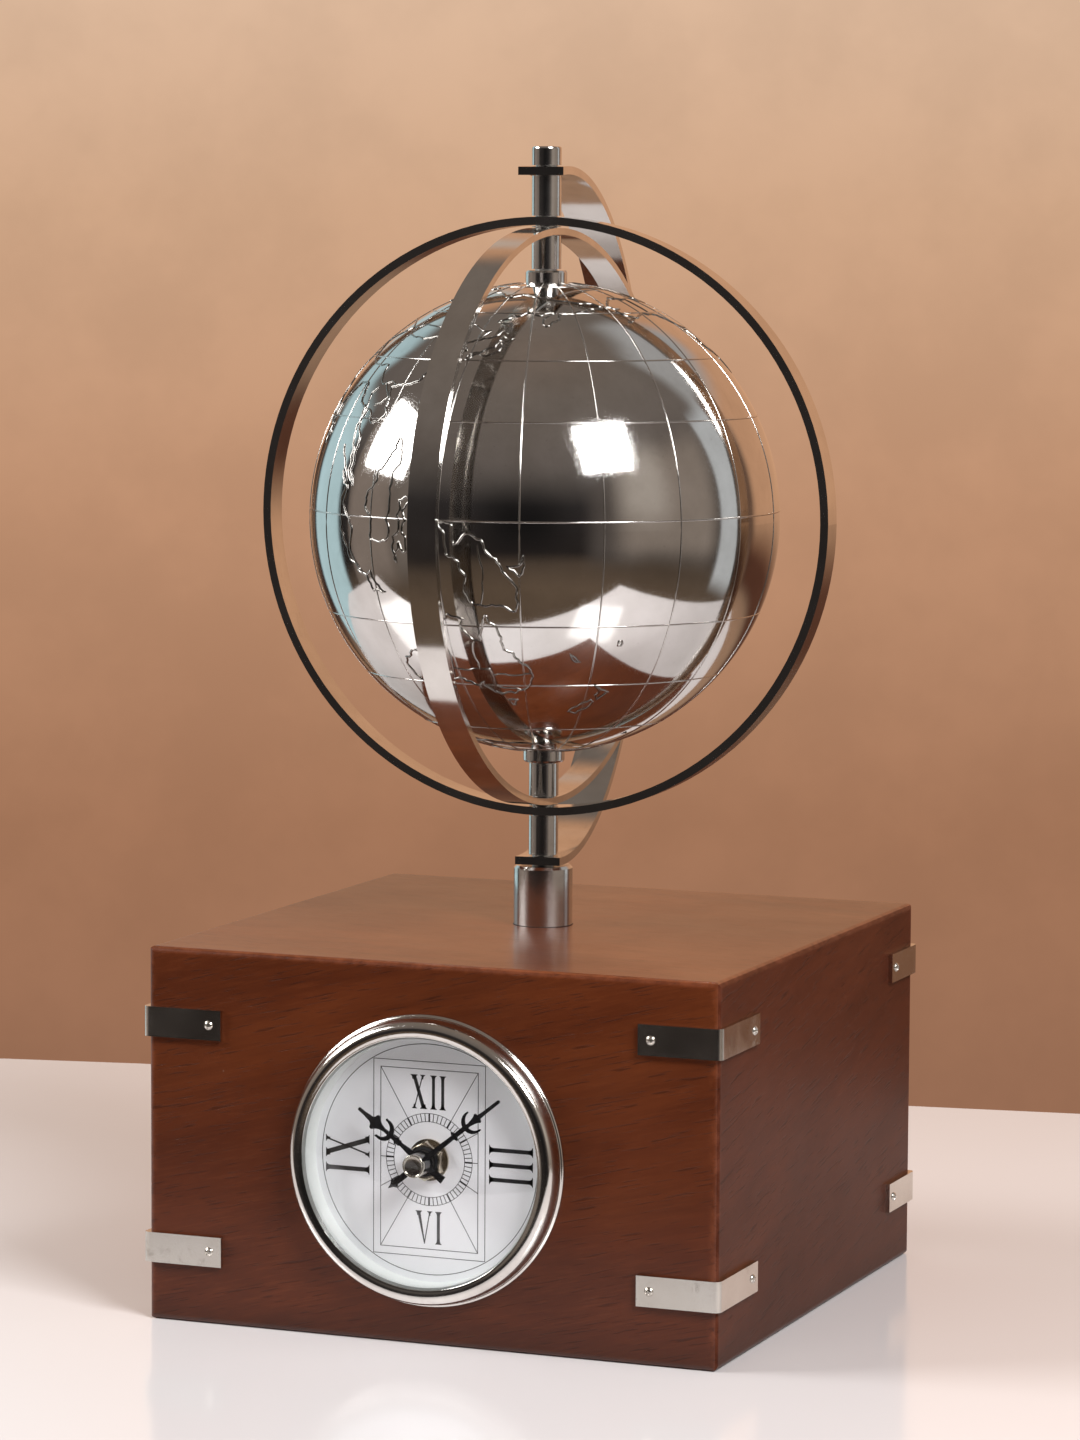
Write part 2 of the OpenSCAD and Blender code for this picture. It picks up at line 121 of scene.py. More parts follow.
# ------------------------------------------------------------ material help
class Net:
    """A small helper around one node tree."""

    def __init__(self, name):
        self.mat = bpy.data.materials.new(name)
        self.mat.use_nodes = True
        self.t = self.mat.node_tree
        self.t.nodes.clear()
        self.out = self.t.nodes.new("ShaderNodeOutputMaterial")
        self.co = self.t.nodes.new("ShaderNodeTexCoord").outputs["Object"]

    def n(self, kind, **props):
        node = self.t.nodes.new(kind)
        for k, v in props.items():
            setattr(node, k, v)
        return node

    def link(self, a, b):
        self.t.links.new(a, b)

    def put(self, socket, value):
        if hasattr(value, "is_output"):
            self.link(value, socket)
        else:
            socket.default_value = value

    def mapping(self, scale=(1, 1, 1), rot=(0, 0, 0), loc=(0, 0, 0), vec=None):
        m = self.n("ShaderNodeMapping")
        self.link(vec if vec is not None else self.co, m.inputs["Vector"])
        m.inputs["Scale"].default_value = scale
        m.inputs["Rotation"].default_value = [math.radians(r) for r in rot]
        m.inputs["Location"].default_value = loc
        return m.outputs["Vector"]

    def noise(self, scale, detail=3.0, rough=0.5, dist=0.0, vec=None):
        m = self.n("ShaderNodeTexNoise")
        self.link(vec if vec is not None else self.co, m.inputs["Vector"])
        m.inputs["Scale"].default_value = scale
        m.inputs["Detail"].default_value = detail
        m.inputs["Roughness"].default_value = rough
        m.inputs["Distortion"].default_value = dist
        return m.outputs["Fac"]

    def voronoi(self, scale, feature="F1", vec=None, rand=1.0):
        m = self.n("ShaderNodeTexVoronoi", feature=feature)
        self.link(vec if vec is not None else self.co, m.inputs["Vector"])
        m.inputs["Scale"].default_value = scale
        m.inputs["Randomness"].default_value = rand
        return m.outputs["Distance"]

    def ramp(self, fac, stops, interp="LINEAR"):
        m = self.n("ShaderNodeValToRGB")
        self.link(fac, m.inputs["Fac"])
        cr = m.color_ramp
        cr.interpolation = interp
        while len(cr.elements) < len(stops):
            cr.elements.new(0.5)
        for e, (p, c) in zip(cr.elements, stops):
            e.position = p
            e.color = (c, c, c, 1) if not hasattr(c, "__len__") else (*c[:3], 1)
        return m.outputs["Color"]

    def span(self, fac, a, b, lo=0.0, hi=1.0, smooth=True):
        m = self.n("ShaderNodeMapRange")
        m.interpolation_type = "SMOOTHSTEP" if smooth else "LINEAR"
        m.clamp = True if not smooth else m.clamp
        self.put(m.inputs["Value"], fac)
        m.inputs["From Min"].default_value = a
        m.inputs["From Max"].default_value = b
        m.inputs["To Min"].default_value = lo
        m.inputs["To Max"].default_value = hi
        return m.outputs["Result"]

    def math(self, op, a, b=None, c=None, clamp=False):
        m = self.n("ShaderNodeMath", operation=op, use_clamp=clamp)
        self.put(m.inputs[0], a)
        if b is not None:
            self.put(m.inputs[1], b)
        if c is not None:
            self.put(m.inputs[2], c)
        return m.outputs[0]

    def mix(self, fac, a, b, blend="MIX"):
        m = self.n("ShaderNodeMix", data_type="RGBA", blend_type=blend)
        self.put(m.inputs["Factor"], fac)
        ia = [s for s in m.inputs if s.name == "A" and s.type == "RGBA"][0]
        ib = [s for s in m.inputs if s.name == "B" and s.type == "RGBA"][0]
        self.put(ia, a if hasattr(a, "is_output") else (*a[:3], 1))
        self.put(ib, b if hasattr(b, "is_output") else (*b[:3], 1))
        return [s for s in m.outputs if s.type == "RGBA"][0]

    def xyz(self, vec=None):
        m = self.n("ShaderNodeSeparateXYZ")
        self.link(vec if vec is not None else self.co, m.inputs[0])
        return m.outputs["X"], m.outputs["Y"], m.outputs["Z"]

    def bump(self, height, dist, strength=1.0, normal=None):
        m = self.n("ShaderNodeBump")
        m.inputs["Strength"].default_value = strength
        m.inputs["Distance"].default_value = dist
        self.link(height, m.inputs["Height"])
        if normal is not None:
            self.link(normal, m.inputs["Normal"])
        return m.outputs["Normal"]

    def bsdf(self, **inputs):
        b = self.n("ShaderNodeBsdfPrincipled")
        for k, v in inputs.items():
            self.put(b.inputs[k.replace("_", " ")], (*v[:3], 1) if isinstance(v, tuple) and len(v) == 3 else v)
        self.link(b.outputs["BSDF"], self.out.inputs["Surface"])
        return b


def metal(name, dark, light, rough=(0.06, 0.16), scratch=0.4, scratch_axis=(1, 1, 12), grime=0.25,
          grime_color=(0.20, 0.16, 0.12), wave=0.0, wave_scale=60.0, fine=2600.0, spots=0.0):
    """Polished or brushed metal with scratches, haze and tarnish."""
    k = Net(name)
    cloud = k.noise(55, 4, 0.6)
    col = k.mix(k.ramp(cloud, [(0.32, 0.0), (0.68, 1.0)]), dark, light)
    soil = k.ramp(k.noise(140, 6, 0.7, 0.6), [(0.56, 0.0), (0.78, 1.0)])
    soil = k.math("MULTIPLY", soil, grime)
    col = k.mix(soil, col, grime_color)
    if spots:
        pit = k.ramp(k.voronoi(620), [(0.05, 1.0), (0.11, 0.0)])
        gate = k.ramp(k.noise(230, 2), [(0.55, 0.0), (0.62, 1.0)])
        pit = k.math("MULTIPLY", k.math("MULTIPLY", pit, gate), spots)
        col = k.mix(pit, col, (0.07, 0.05, 0.04))
    lines = k.noise(fine, 2, 0.5, vec=k.mapping(scale=scratch_axis))
    hair = k.ramp(k.noise(fine * 0.45, 3, 0.6, vec=k.mapping(scale=(scratch_axis[1], scratch_axis[2], scratch_axis[0]), rot=(12, 31, 7))),
                  [(0.60, 0.0), (0.66, 1.0)])
    r = k.math("MULTIPLY_ADD", lines, (rough[1] - rough[0]) * 0.6, rough[0])
    r = k.math("ADD", r, k.math("MULTIPLY", k.ramp(cloud, [(0.4, 0.0), (0.75, 1.0)]), (rough[1] - rough[0]) * 0.6))
    r = k.math("ADD", r, k.math("MULTIPLY", soil, 0.35))
    height = k.math("ADD", k.math("MULTIPLY", lines, 0.6), k.math("MULTIPLY", hair, -0.5))
    nrm = k.bump(height, 0.000004 * scratch * 2.5, 1.0)
    if wave:
        nrm = k.bump(k.noise(wave_scale, 1.5, 0.4), wave * MM, 1.0, nrm)
    k.bsdf(Base_Color=col, Metallic=1.0, Roughness=r, Normal=nrm)
    return k.mat


def wood(name, deep, mid, pale, grain="x", tilt=8.0, edge=0.22, gloss=(0.28, 0.42), coat=0.22, seed=0.0, box_edges=True, spec=0.45):
    """Stained close-grained wood under satin lacquer, grain along one axis."""
    k = Net(name)
    rot = {"x": (0, tilt, 0), "y": (tilt, 0, 0), "z": (0, tilt, 0), "xt": (0, 0, tilt)}[grain]
    long_axis = {"x": (1, 9, 9), "y": (9, 1, 9), "z": (9, 9, 1), "xt": (1, 9, 9)}[grain]
    base = k.mapping(rot=rot, loc=(seed, seed * 0.7, seed * 1.3))
    g = k.mapping(scale=long_axis, vec=base)
    figure = k.noise(9.0, 5, 0.6, 1.1, vec=k.mapping(scale=tuple(0.35 + 0.18 * s for s in long_axis), vec=base))
    band = k.noise(22.0, 6, 0.62, 0.5, vec=g)
    fibre = k.noise(120.0, 4, 0.65, 0.2, vec=k.mapping(scale=tuple(s * (1 if s == 1 else 1.5) for s in long_axis), vec=base))
    cloud = k.noise(16.0, 3, 0.5)
    col = k.ramp(figure, [(0.20, deep), (0.50, mid), (0.82, pale)])
    col = k.mix(k.math("MULTIPLY", k.ramp(band, [(0.40, 1.0), (0.58, 0.0)]), 0.30), col, deep)
    col = k.mix(k.math("MULTIPLY", k.ramp(fibre, [(0.50, 0.0), (0.70, 1.0)]), 0.34), col, pale)
    pore = k.ramp(k.noise(210.0, 2, 0.5, vec=k.mapping(scale=tuple(s * (0.5 if s == 1 else 1.0) for s in long_axis), vec=base)),
                  [(0.60, 0.0), (0.66, 1.0)])
    col = k.mix(k.math("MULTIPLY", pore, 0.44), col, tuple(c * 0.30 for c in deep))
    blotch = k.ramp(cloud, [(0.42, 0.0), (0.70, 1.0)])
    col = k.mix(k.math("MULTIPLY", blotch, 0.25), col, tuple(c * 0.55 for c in deep))
    knot = k.ramp(k.voronoi(17.0, vec=k.mapping(loc=(seed + 0.31, 0.17, 0.053))), [(0.0, 1.0), (0.055, 0.0)])
    col = k.mix(k.math("MULTIPLY", knot, 0.5), col, tuple(c * 0.3 for c in deep))
    x, y, z = k.xyz()
    if box_edges:
        far = k.math("MAXIMUM", k.math("ABSOLUTE", x), k.math("ABSOLUTE", y))
        top = k.span(z, 0.0975, 0.0998)
        low = k.span(z, 0.010, 0.0, 0.0, 1.0)
        # lightened edges, partly worn lacquer and partly painted highlight: two faces meet where both |x| and |y|, or
        # z, are near their limits
        corner = k.math("MINIMUM", k.math("ABSOLUTE", x), k.math("ABSOLUTE", y))
        edge_wear_and_highlight = k.span(corner, 0.0768, 0.0795)
        edge_wear_and_highlight = k.math("MAXIMUM", edge_wear_and_highlight, k.math("MINIMUM", top, k.span(far, 0.0775, 0.0796)))
        chip = k.ramp(k.noise(260, 4, 0.7), [(0.40, 0.0), (0.62, 1.0)])
        edge_wear_and_highlight = k.math("MULTIPLY", k.math("MULTIPLY", edge_wear_and_highlight, chip), edge)
        col = k.mix(edge_wear_and_highlight, col, tuple(min(1, c * 2.2 + 0.02) for c in pale))
        # painted shade: the lowest 10 mm of each panel is darkened where the box stands on the table
        col = k.mix(k.math("MULTIPLY", low, 0.45), col, tuple(c * 0.4 for c in deep))
    speck = k.ramp(k.voronoi(95.0, vec=k.mapping(loc=(seed * 2, 0.4, 0.9))), [(0.0, 1.0), (0.035, 0.0)])
    gate = k.ramp(k.noise(40, 1), [(0.52, 0.0), (0.6, 1.0)])
    dust = k.math("MULTIPLY", k.math("MULTIPLY", speck, gate), 0.5)
    col = k.mix(dust, col, (0.30, 0.20, 0.14))
    r = k.math("MULTIPLY_ADD", k.noise(38, 5, 0.6), gloss[1] - gloss[0], gloss[0])
    r = k.math("ADD", r, k.math("MULTIPLY", fibre, 0.06))
    h = k.math("ADD", k.math("MULTIPLY", fibre, 0.5), k.math("MULTIPLY", pore, -0.8))
    nrm = k.bump(h, 0.00003, 0.8)
    nrm = k.bump(k.noise(26, 2, 0.5), 0.0006, 0.16, nrm)
    k.bsdf(Base_Color=col, Roughness=r, Normal=nrm, Coat_Weight=coat, Coat_Roughness=0.14, Specular_IOR_Level=spec)
    return k.mat


# --------------------------------------------------------------- materials
M = {}
M["wood_front"] = wood("wood_front", (0.050, 0.0098, 0.0030), (0.104, 0.0222, 0.0058), (0.152, 0.0370, 0.0100), "x", 14, seed=0.0,
                       gloss=(0.24, 0.34), coat=0.10, spec=0.32)
# the side panel: a darker, greyer copy of the same stained wood, as painted shade
M["wood_side"] = wood("wood_side", (0.044, 0.0110, 0.0055), (0.080, 0.0195, 0.0085), (0.120, 0.0330, 0.0150), "y", -10, seed=0.37,
                      gloss=(0.24, 0.34), coat=0.0, spec=0.06)
# the top panel: a lighter copy of the same stained wood, as painted light
M["wood_top"] = wood("wood_top", (0.076, 0.0165, 0.0048), (0.130, 0.0315, 0.0088), (0.190, 0.0520, 0.0160), "xt", 9, seed=0.74,
                     gloss=(0.22, 0.36))
M["wood_cover"] = wood("wood_cover", (0.050, 0.0130, 0.0070), (0.085, 0.0240, 0.0130), (0.125, 0.0390, 0.0210), "xt", 3, seed=1.2,
                       gloss=(0.45, 0.62), coat=0.05, box_edges=False)
M["pine_block"] = wood("pine_block", (0.36, 0.22, 0.11), (0.52, 0.34, 0.18), (0.66, 0.47, 0.27), "z", 2, seed=2.1,
                       gloss=(0.6, 0.8), coat=0.0, box_edges=False)
M["strap_nickel"] = metal("strap_nickel", (0.60, 0.565, 0.51), (0.74, 0.71, 0.66), rough=(0.10, 0.24), scratch=0.3,
                          scratch_axis=(1, 1, 9), grime=0.45, grime_color=(0.24, 0.20, 0.15), wave=0.012, wave_scale=140, spots=0.8)
M["screw_steel"] = metal("screw_steel", (0.50, 0.47, 0.43), (0.66, 0.63, 0.58), rough=(0.14, 0.30), scratch=1.0, grime=0.5,
                         grime_color=(0.16, 0.13, 0.10), spots=0.5)
M["tube_chrome"] = metal("tube_chrome", (0.62, 0.60, 0.58), (0.76, 0.75, 0.73), rough=(0.08, 0.18), scratch=0.5,
                         scratch_axis=(9, 9, 1), grime=0.25, wave=0.006, wave_scale=220)
M["rod_steel"] = metal("rod_steel", (0.42, 0.41, 0.40), (0.56, 0.55, 0.54), rough=(0.22, 0.36), scratch=1.2, scratch_axis=(2, 2, 9))
M["bezel_chrome"] = metal("bezel_chrome", (0.66, 0.635, 0.60), (0.80, 0.78, 0.75), rough=(0.05, 0.13), scratch=0.5, grime=0.20,
                          wave=0.006, wave_scale=120, spots=0.3)
M["globe_chrome"] = metal("globe_chrome", (0.60, 0.585, 0.565), (0.72, 0.705, 0.69), rough=(0.035, 0.075), scratch=0.25,
                          scratch_axis=(3, 3, 3), grime=0.10, wave=0.05, wave_scale=34, spots=0.35)
M["globe_line"] = metal("globe_line", (0.50, 0.48, 0.46), (0.68, 0.66, 0.64), rough=(0.09, 0.20), scratch=0.5, grime=0.35,
                        grime_color=(0.10, 0.09, 0.08))
M["globe_inner"] = metal("globe_inner", (0.34, 0.33, 0.32), (0.48, 0.47, 0.45), rough=(0.35, 0.55), scratch=1.2, grime=0.5)
M["collar_steel"] = metal("collar_steel", (0.60, 0.58, 0.56), (0.74, 0.72, 0.70), rough=(0.07, 0.16), scratch=0.7, grime=0.3)
M["ring_nickel"] = metal("ring_nickel", (0.60, 0.575, 0.545), (0.73, 0.71, 0.68), rough=(0.07, 0.14), scratch=0.04,
                         scratch_axis=(1, 1, 3), grime=0.22, wave=0.014, wave_scale=70, spots=0.35)
M["nut_nickel"] = metal("nut_nickel", (0.52, 0.45, 0.35), (0.68, 0.62, 0.52), rough=(0.12, 0.24), scratch=1.0, grime=0.55,
                        grime_color=(0.20, 0.14, 0.09))
M["brass"] = metal("brass", (0.56, 0.40, 0.18), (0.72, 0.55, 0.28), rough=(0.18, 0.32), scratch=0.9)
M["cap_nickel"] = metal("cap_nickel", (0.55, 0.51, 0.45), (0.70, 0.66, 0.60), rough=(0.12, 0.18), scratch=0.03, grime=0.15)
M["coast_line"] = metal("coast_line", (0.24, 0.23, 0.215), (0.40, 0.385, 0.365), rough=(0.12, 0.24), scratch=0.4, grime=0.45,
                        grime_color=(0.06, 0.055, 0.05))


def enamel(name, base, other, rough, bump=0.00001, scale=300, dirt=0.2, dirt_color=(0.35, 0.33, 0.30), coat=0.0, spec=0.5):
    """Paint, lacquer, plastic or rubber with mottling and a fine skin."""
    k = Net(name)
    cloud = k.noise(48, 5, 0.6)
    col = k.mix(k.ramp(cloud, [(0.35, 0.0), (0.68, 1.0)]), base, other)
    soil = k.ramp(k.noise(95, 6, 0.7, 0.4), [(0.58, 0.0), (0.80, 1.0)])
    col = k.mix(k.math("MULTIPLY", soil, dirt), col, dirt_color)
    r = k.math("MULTIPLY_ADD", k.noise(130, 4, 0.6), rough[1] - rough[0], rough[0])
    nrm = k.bump(k.noise(scale, 4, 0.6), bump, 1.0)
    k.bsdf(Base_Color=col, Roughness=r, Normal=nrm, Coat_Weight=coat, Coat_Roughness=0.08, Specular_IOR_Level=spec)
    return k.mat


M["rehaut_white"] = enamel("rehaut_white", (0.80, 0.82, 0.80), (0.86, 0.88, 0.86), (0.30, 0.42), 0.000012, 500, 0.06)
M["dial_white"] = enamel("dial_white", (0.875, 0.875, 0.905), (0.915, 0.915, 0.94), (0.42, 0.55), 0.000004, 2400, 0.04, (0.60, 0.60, 0.60))
M["dial_ink"] = enamel("dial_ink", (0.010, 0.010, 0.011), (0.020, 0.020, 0.021), (0.30, 0.45), 0.000003, 2600, 0.1, (0.04, 0.04, 0.04))
M["dial_line"] = enamel("dial_line", (0.016, 0.016, 0.018), (0.034, 0.034, 0.036), (0.35, 0.5), 0.000002, 2600, 0.1, (0.12, 0.12, 0.12))
M["hand_black"] = enamel("hand_black", (0.006, 0.006, 0.007), (0.013, 0.013, 0.014), (0.16, 0.28), 0.000004, 900, 0.15,
                         (0.05, 0.045, 0.04), coat=0.6)
M["case_black"] = enamel("case_black", (0.018, 0.018, 0.020), (0.032, 0.032, 0.034), (0.45, 0.60), 0.00003, 1800, 0.2, (0.09, 0.09, 0.09))
M["gasket_rubber"] = enamel("gasket_rubber", (0.014, 0.014, 0.014), (0.030, 0.030, 0.030), (0.65, 0.85), 0.00004, 900, 0.3, (0.10, 0.10, 0.10))
# near-black paint for the painted contact shadow at the ferrule's foot
M["contact_shadow_paint"] = enamel("contact_shadow_paint", (0.010, 0.005, 0.004), (0.020, 0.010, 0.007), (0.40, 0.55), 0.00001, 700, 0.2, (0.03, 0.02, 0.015))
M["cell"] = enamel("cell", (0.42, 0.27, 0.08), (0.52, 0.35, 0.12), (0.25, 0.38), 0.00001, 400, 0.15, (0.20, 0.14, 0.06), coat=0.3)

# clear glass: a facing-dependent share of mirror over straight-through
k = Net("glass")
lw = k.n("ShaderNodeLayerWeight")
lw.inputs["Blend"].default_value = 0.5
face5 = k.math("POWER", lw.outputs["Facing"], 4.0)
share = k.math("MULTIPLY_ADD", face5, 0.80, 0.045)
smear = k.ramp(k.noise(70, 5, 0.6, 0.5), [(0.5, 0.0), (0.8, 1.0)])
glossy = k.n("ShaderNodeBsdfGlossy")
glossy.inputs["Color"].default_value = (0.96, 0.98, 1.0, 1)
k.link(k.math("MULTIPLY_ADD", smear, 0.05, 0.015), glossy.inputs["Roughness"])
clear = k.n("ShaderNodeBsdfTransparent")
tint = k.mix(k.ramp(lw.outputs["Facing"], [(0.35, 0.0), (0.95, 1.0)]), (0.995, 0.997, 1.0), (0.88, 0.925, 0.92))
k.link(tint, clear.inputs["Color"])
blend = k.n("ShaderNodeMixShader")
k.link(share, blend.inputs[0])
k.link(clear.outputs[0], blend.inputs[1])
k.link(glossy.outputs[0], blend.inputs[2])
k.link(blend.outputs[0], k.out.inputs["Surface"])
M["glass"] = k.mat

# ------------------------------------------------- materials on the CAD nodes
slot_of = {s["node"]: s["material_slot"] for s in frame["record"]["subparts"]}
for name, ob in NODES.items():
    mat = M[slot_of.get(name, "ring_nickel")]
    if not ob.material_slots:
        ob.data.materials.append(mat)
    for s in ob.material_slots:
        s.material = mat

for name in ("outer_ring", "inner_ring", "meridian_band"):
    bevel(NODES[name], 0.28, 40, 3)
for name in NODES:
    if name.startswith("strap_") and name != "strap_screws":
        bevel(NODES[name], 0.32, 40, 3)
bevel(NODES["ferrule"], 0.45, 50, 3)
for name in ("lower_spacer", "lower_globe_spacer", "upper_globe_spacer", "upper_spacer"):
    bevel(NODES[name], 0.22, 50, 2)
for name in ("hour_hand", "minute_hand"):
    bevel(NODES[name], 0.07, 50, 2)
bevel(NODES["dial_nut"], 0.15, 25, 2)
bevel(NODES["dial_washer"], 0.12, 50, 2)

# ------------------------------------------------------------ globe surface
SPAN = 68.2 + 166.0  # globe azimuth = longitude - SPAN


def sph(lon_az, lat, r):
    a, e = math.radians(lon_az), math.radians(lat)
    return (r * math.cos(e) * math.cos(a), r * math.cos(e) * math.sin(a), GLOBE_Z + r * math.sin(e))


def skin(name, sign, node):
    """Half of the globe as a thin closed shell with a flush seam edge and a pole hole."""
    nu = 288
    hole = math.degrees(math.acos(4.42 / GLOBE_R))
    lats = list(np.linspace(0.0, hole - 0.4, 76)) + [hole]
    dips = [0.0] * 77
    verts, faces = [], []
    for lat, d in zip(lats, dips):
        for i in range(nu):
            verts.append(sph(360.0 * i / nu, sign * lat, GLOBE_R - d))
    inner = [hole, 60, 40, 20, 0.0]
    for lat in inner:
        for i in range(nu):
            verts.append(sph(360.0 * i / nu, sign * lat, GLOBE_R - 1.0))
    rows = len(lats) + len(inner)
    for j in range(rows):
        jj = (j + 1) % rows
        for i in range(nu):
            ii = (i + 1) % nu
            q = (j * nu + i, j * nu + ii, jj * nu + ii, jj * nu + i)
            faces.append(q if sign > 0 else q[::-1])
    ob = make_mesh(name, verts, faces, M["globe_chrome"], sharp=50)
    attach(ob, "globe")
    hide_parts(node)
    return ob


skin("globe_skin_north", 1, "globe_north")
skin("globe_skin_south", -1, "globe_south")


def vec_ll(az, lat):
    a, e = math.radians(az), math.radians(lat)
    return np.array([math.cos(e) * math.cos(a), math.cos(e) * math.sin(a), math.sin(e)])


def ridge(build, pts, width, height, closed=False, foot=0.12):
    """A raised rounded line along unit directions pts on the globe."""
    n = len(pts)
    if n < 2:
        return
    prof = [(-0.5, -foot), (-0.42, height * 0.42), (-0.2, height * 0.9), (0.0, height), (0.2, height * 0.9), (0.42, height * 0.42), (0.5, -foot)]
    m = len(prof)
    verts, faces = [], []
    centre = np.array([0, 0, GLOBE_Z])
    for i in range(n):
        a = pts[(i - 1) % n] if (closed or i > 0) else pts[i]
        b = pts[(i + 1) % n] if (closed or i < n - 1) else pts[i]
        t = b - a
        t /= (np.linalg.norm(t) + 1e-12)
        side = np.cross(pts[i], t)
        side /= (np.linalg.norm(side) + 1e-12)
        taper = 1.0 if closed or 0 < i < n - 1 else 0.55
        for s, h in prof:
            p = pts[i] * (GLOBE_R + h * (taper if h > 0 else 1)) + side * (s * width * taper)
            verts.append(tuple(p + centre))
    last = n if closed else n - 1
    for i in range(last):
        j = (i + 1) % n
        for q in range(m):
            r = (q + 1) % m
            faces.append((i * m + q, i * m + r, j * m + r, j * m + q))
    if not closed:
        faces.append(tuple(range(m))[::-1])
        faces.append(tuple((n - 1) * m + q for q in range(m)))
    build.add(verts, faces)


LATS = (2.2, 26.0, 43.2, 61, 78, -23.3, -40.6, -59, -76)
grid = Build()
for lon in range(0, 360, 20):
    for sign in (1, -1):
        ridge(grid, [vec_ll(lon - SPAN, sign * e) for e in np.linspace(0.0, 83.5, 70)], 0.50, 0.15)
for lat in LATS:
    cnt = max(60, int(300 * math.cos(math.radians(lat))))
    ridge(grid, [vec_ll(360.0 * i / cnt, lat) for i in range(cnt)], 0.50, 0.15, closed=True)
ob = make_mesh("globe_graticule", grid.v, grid.f, M["globe_line"], sharp=70)
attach(ob, "globe")

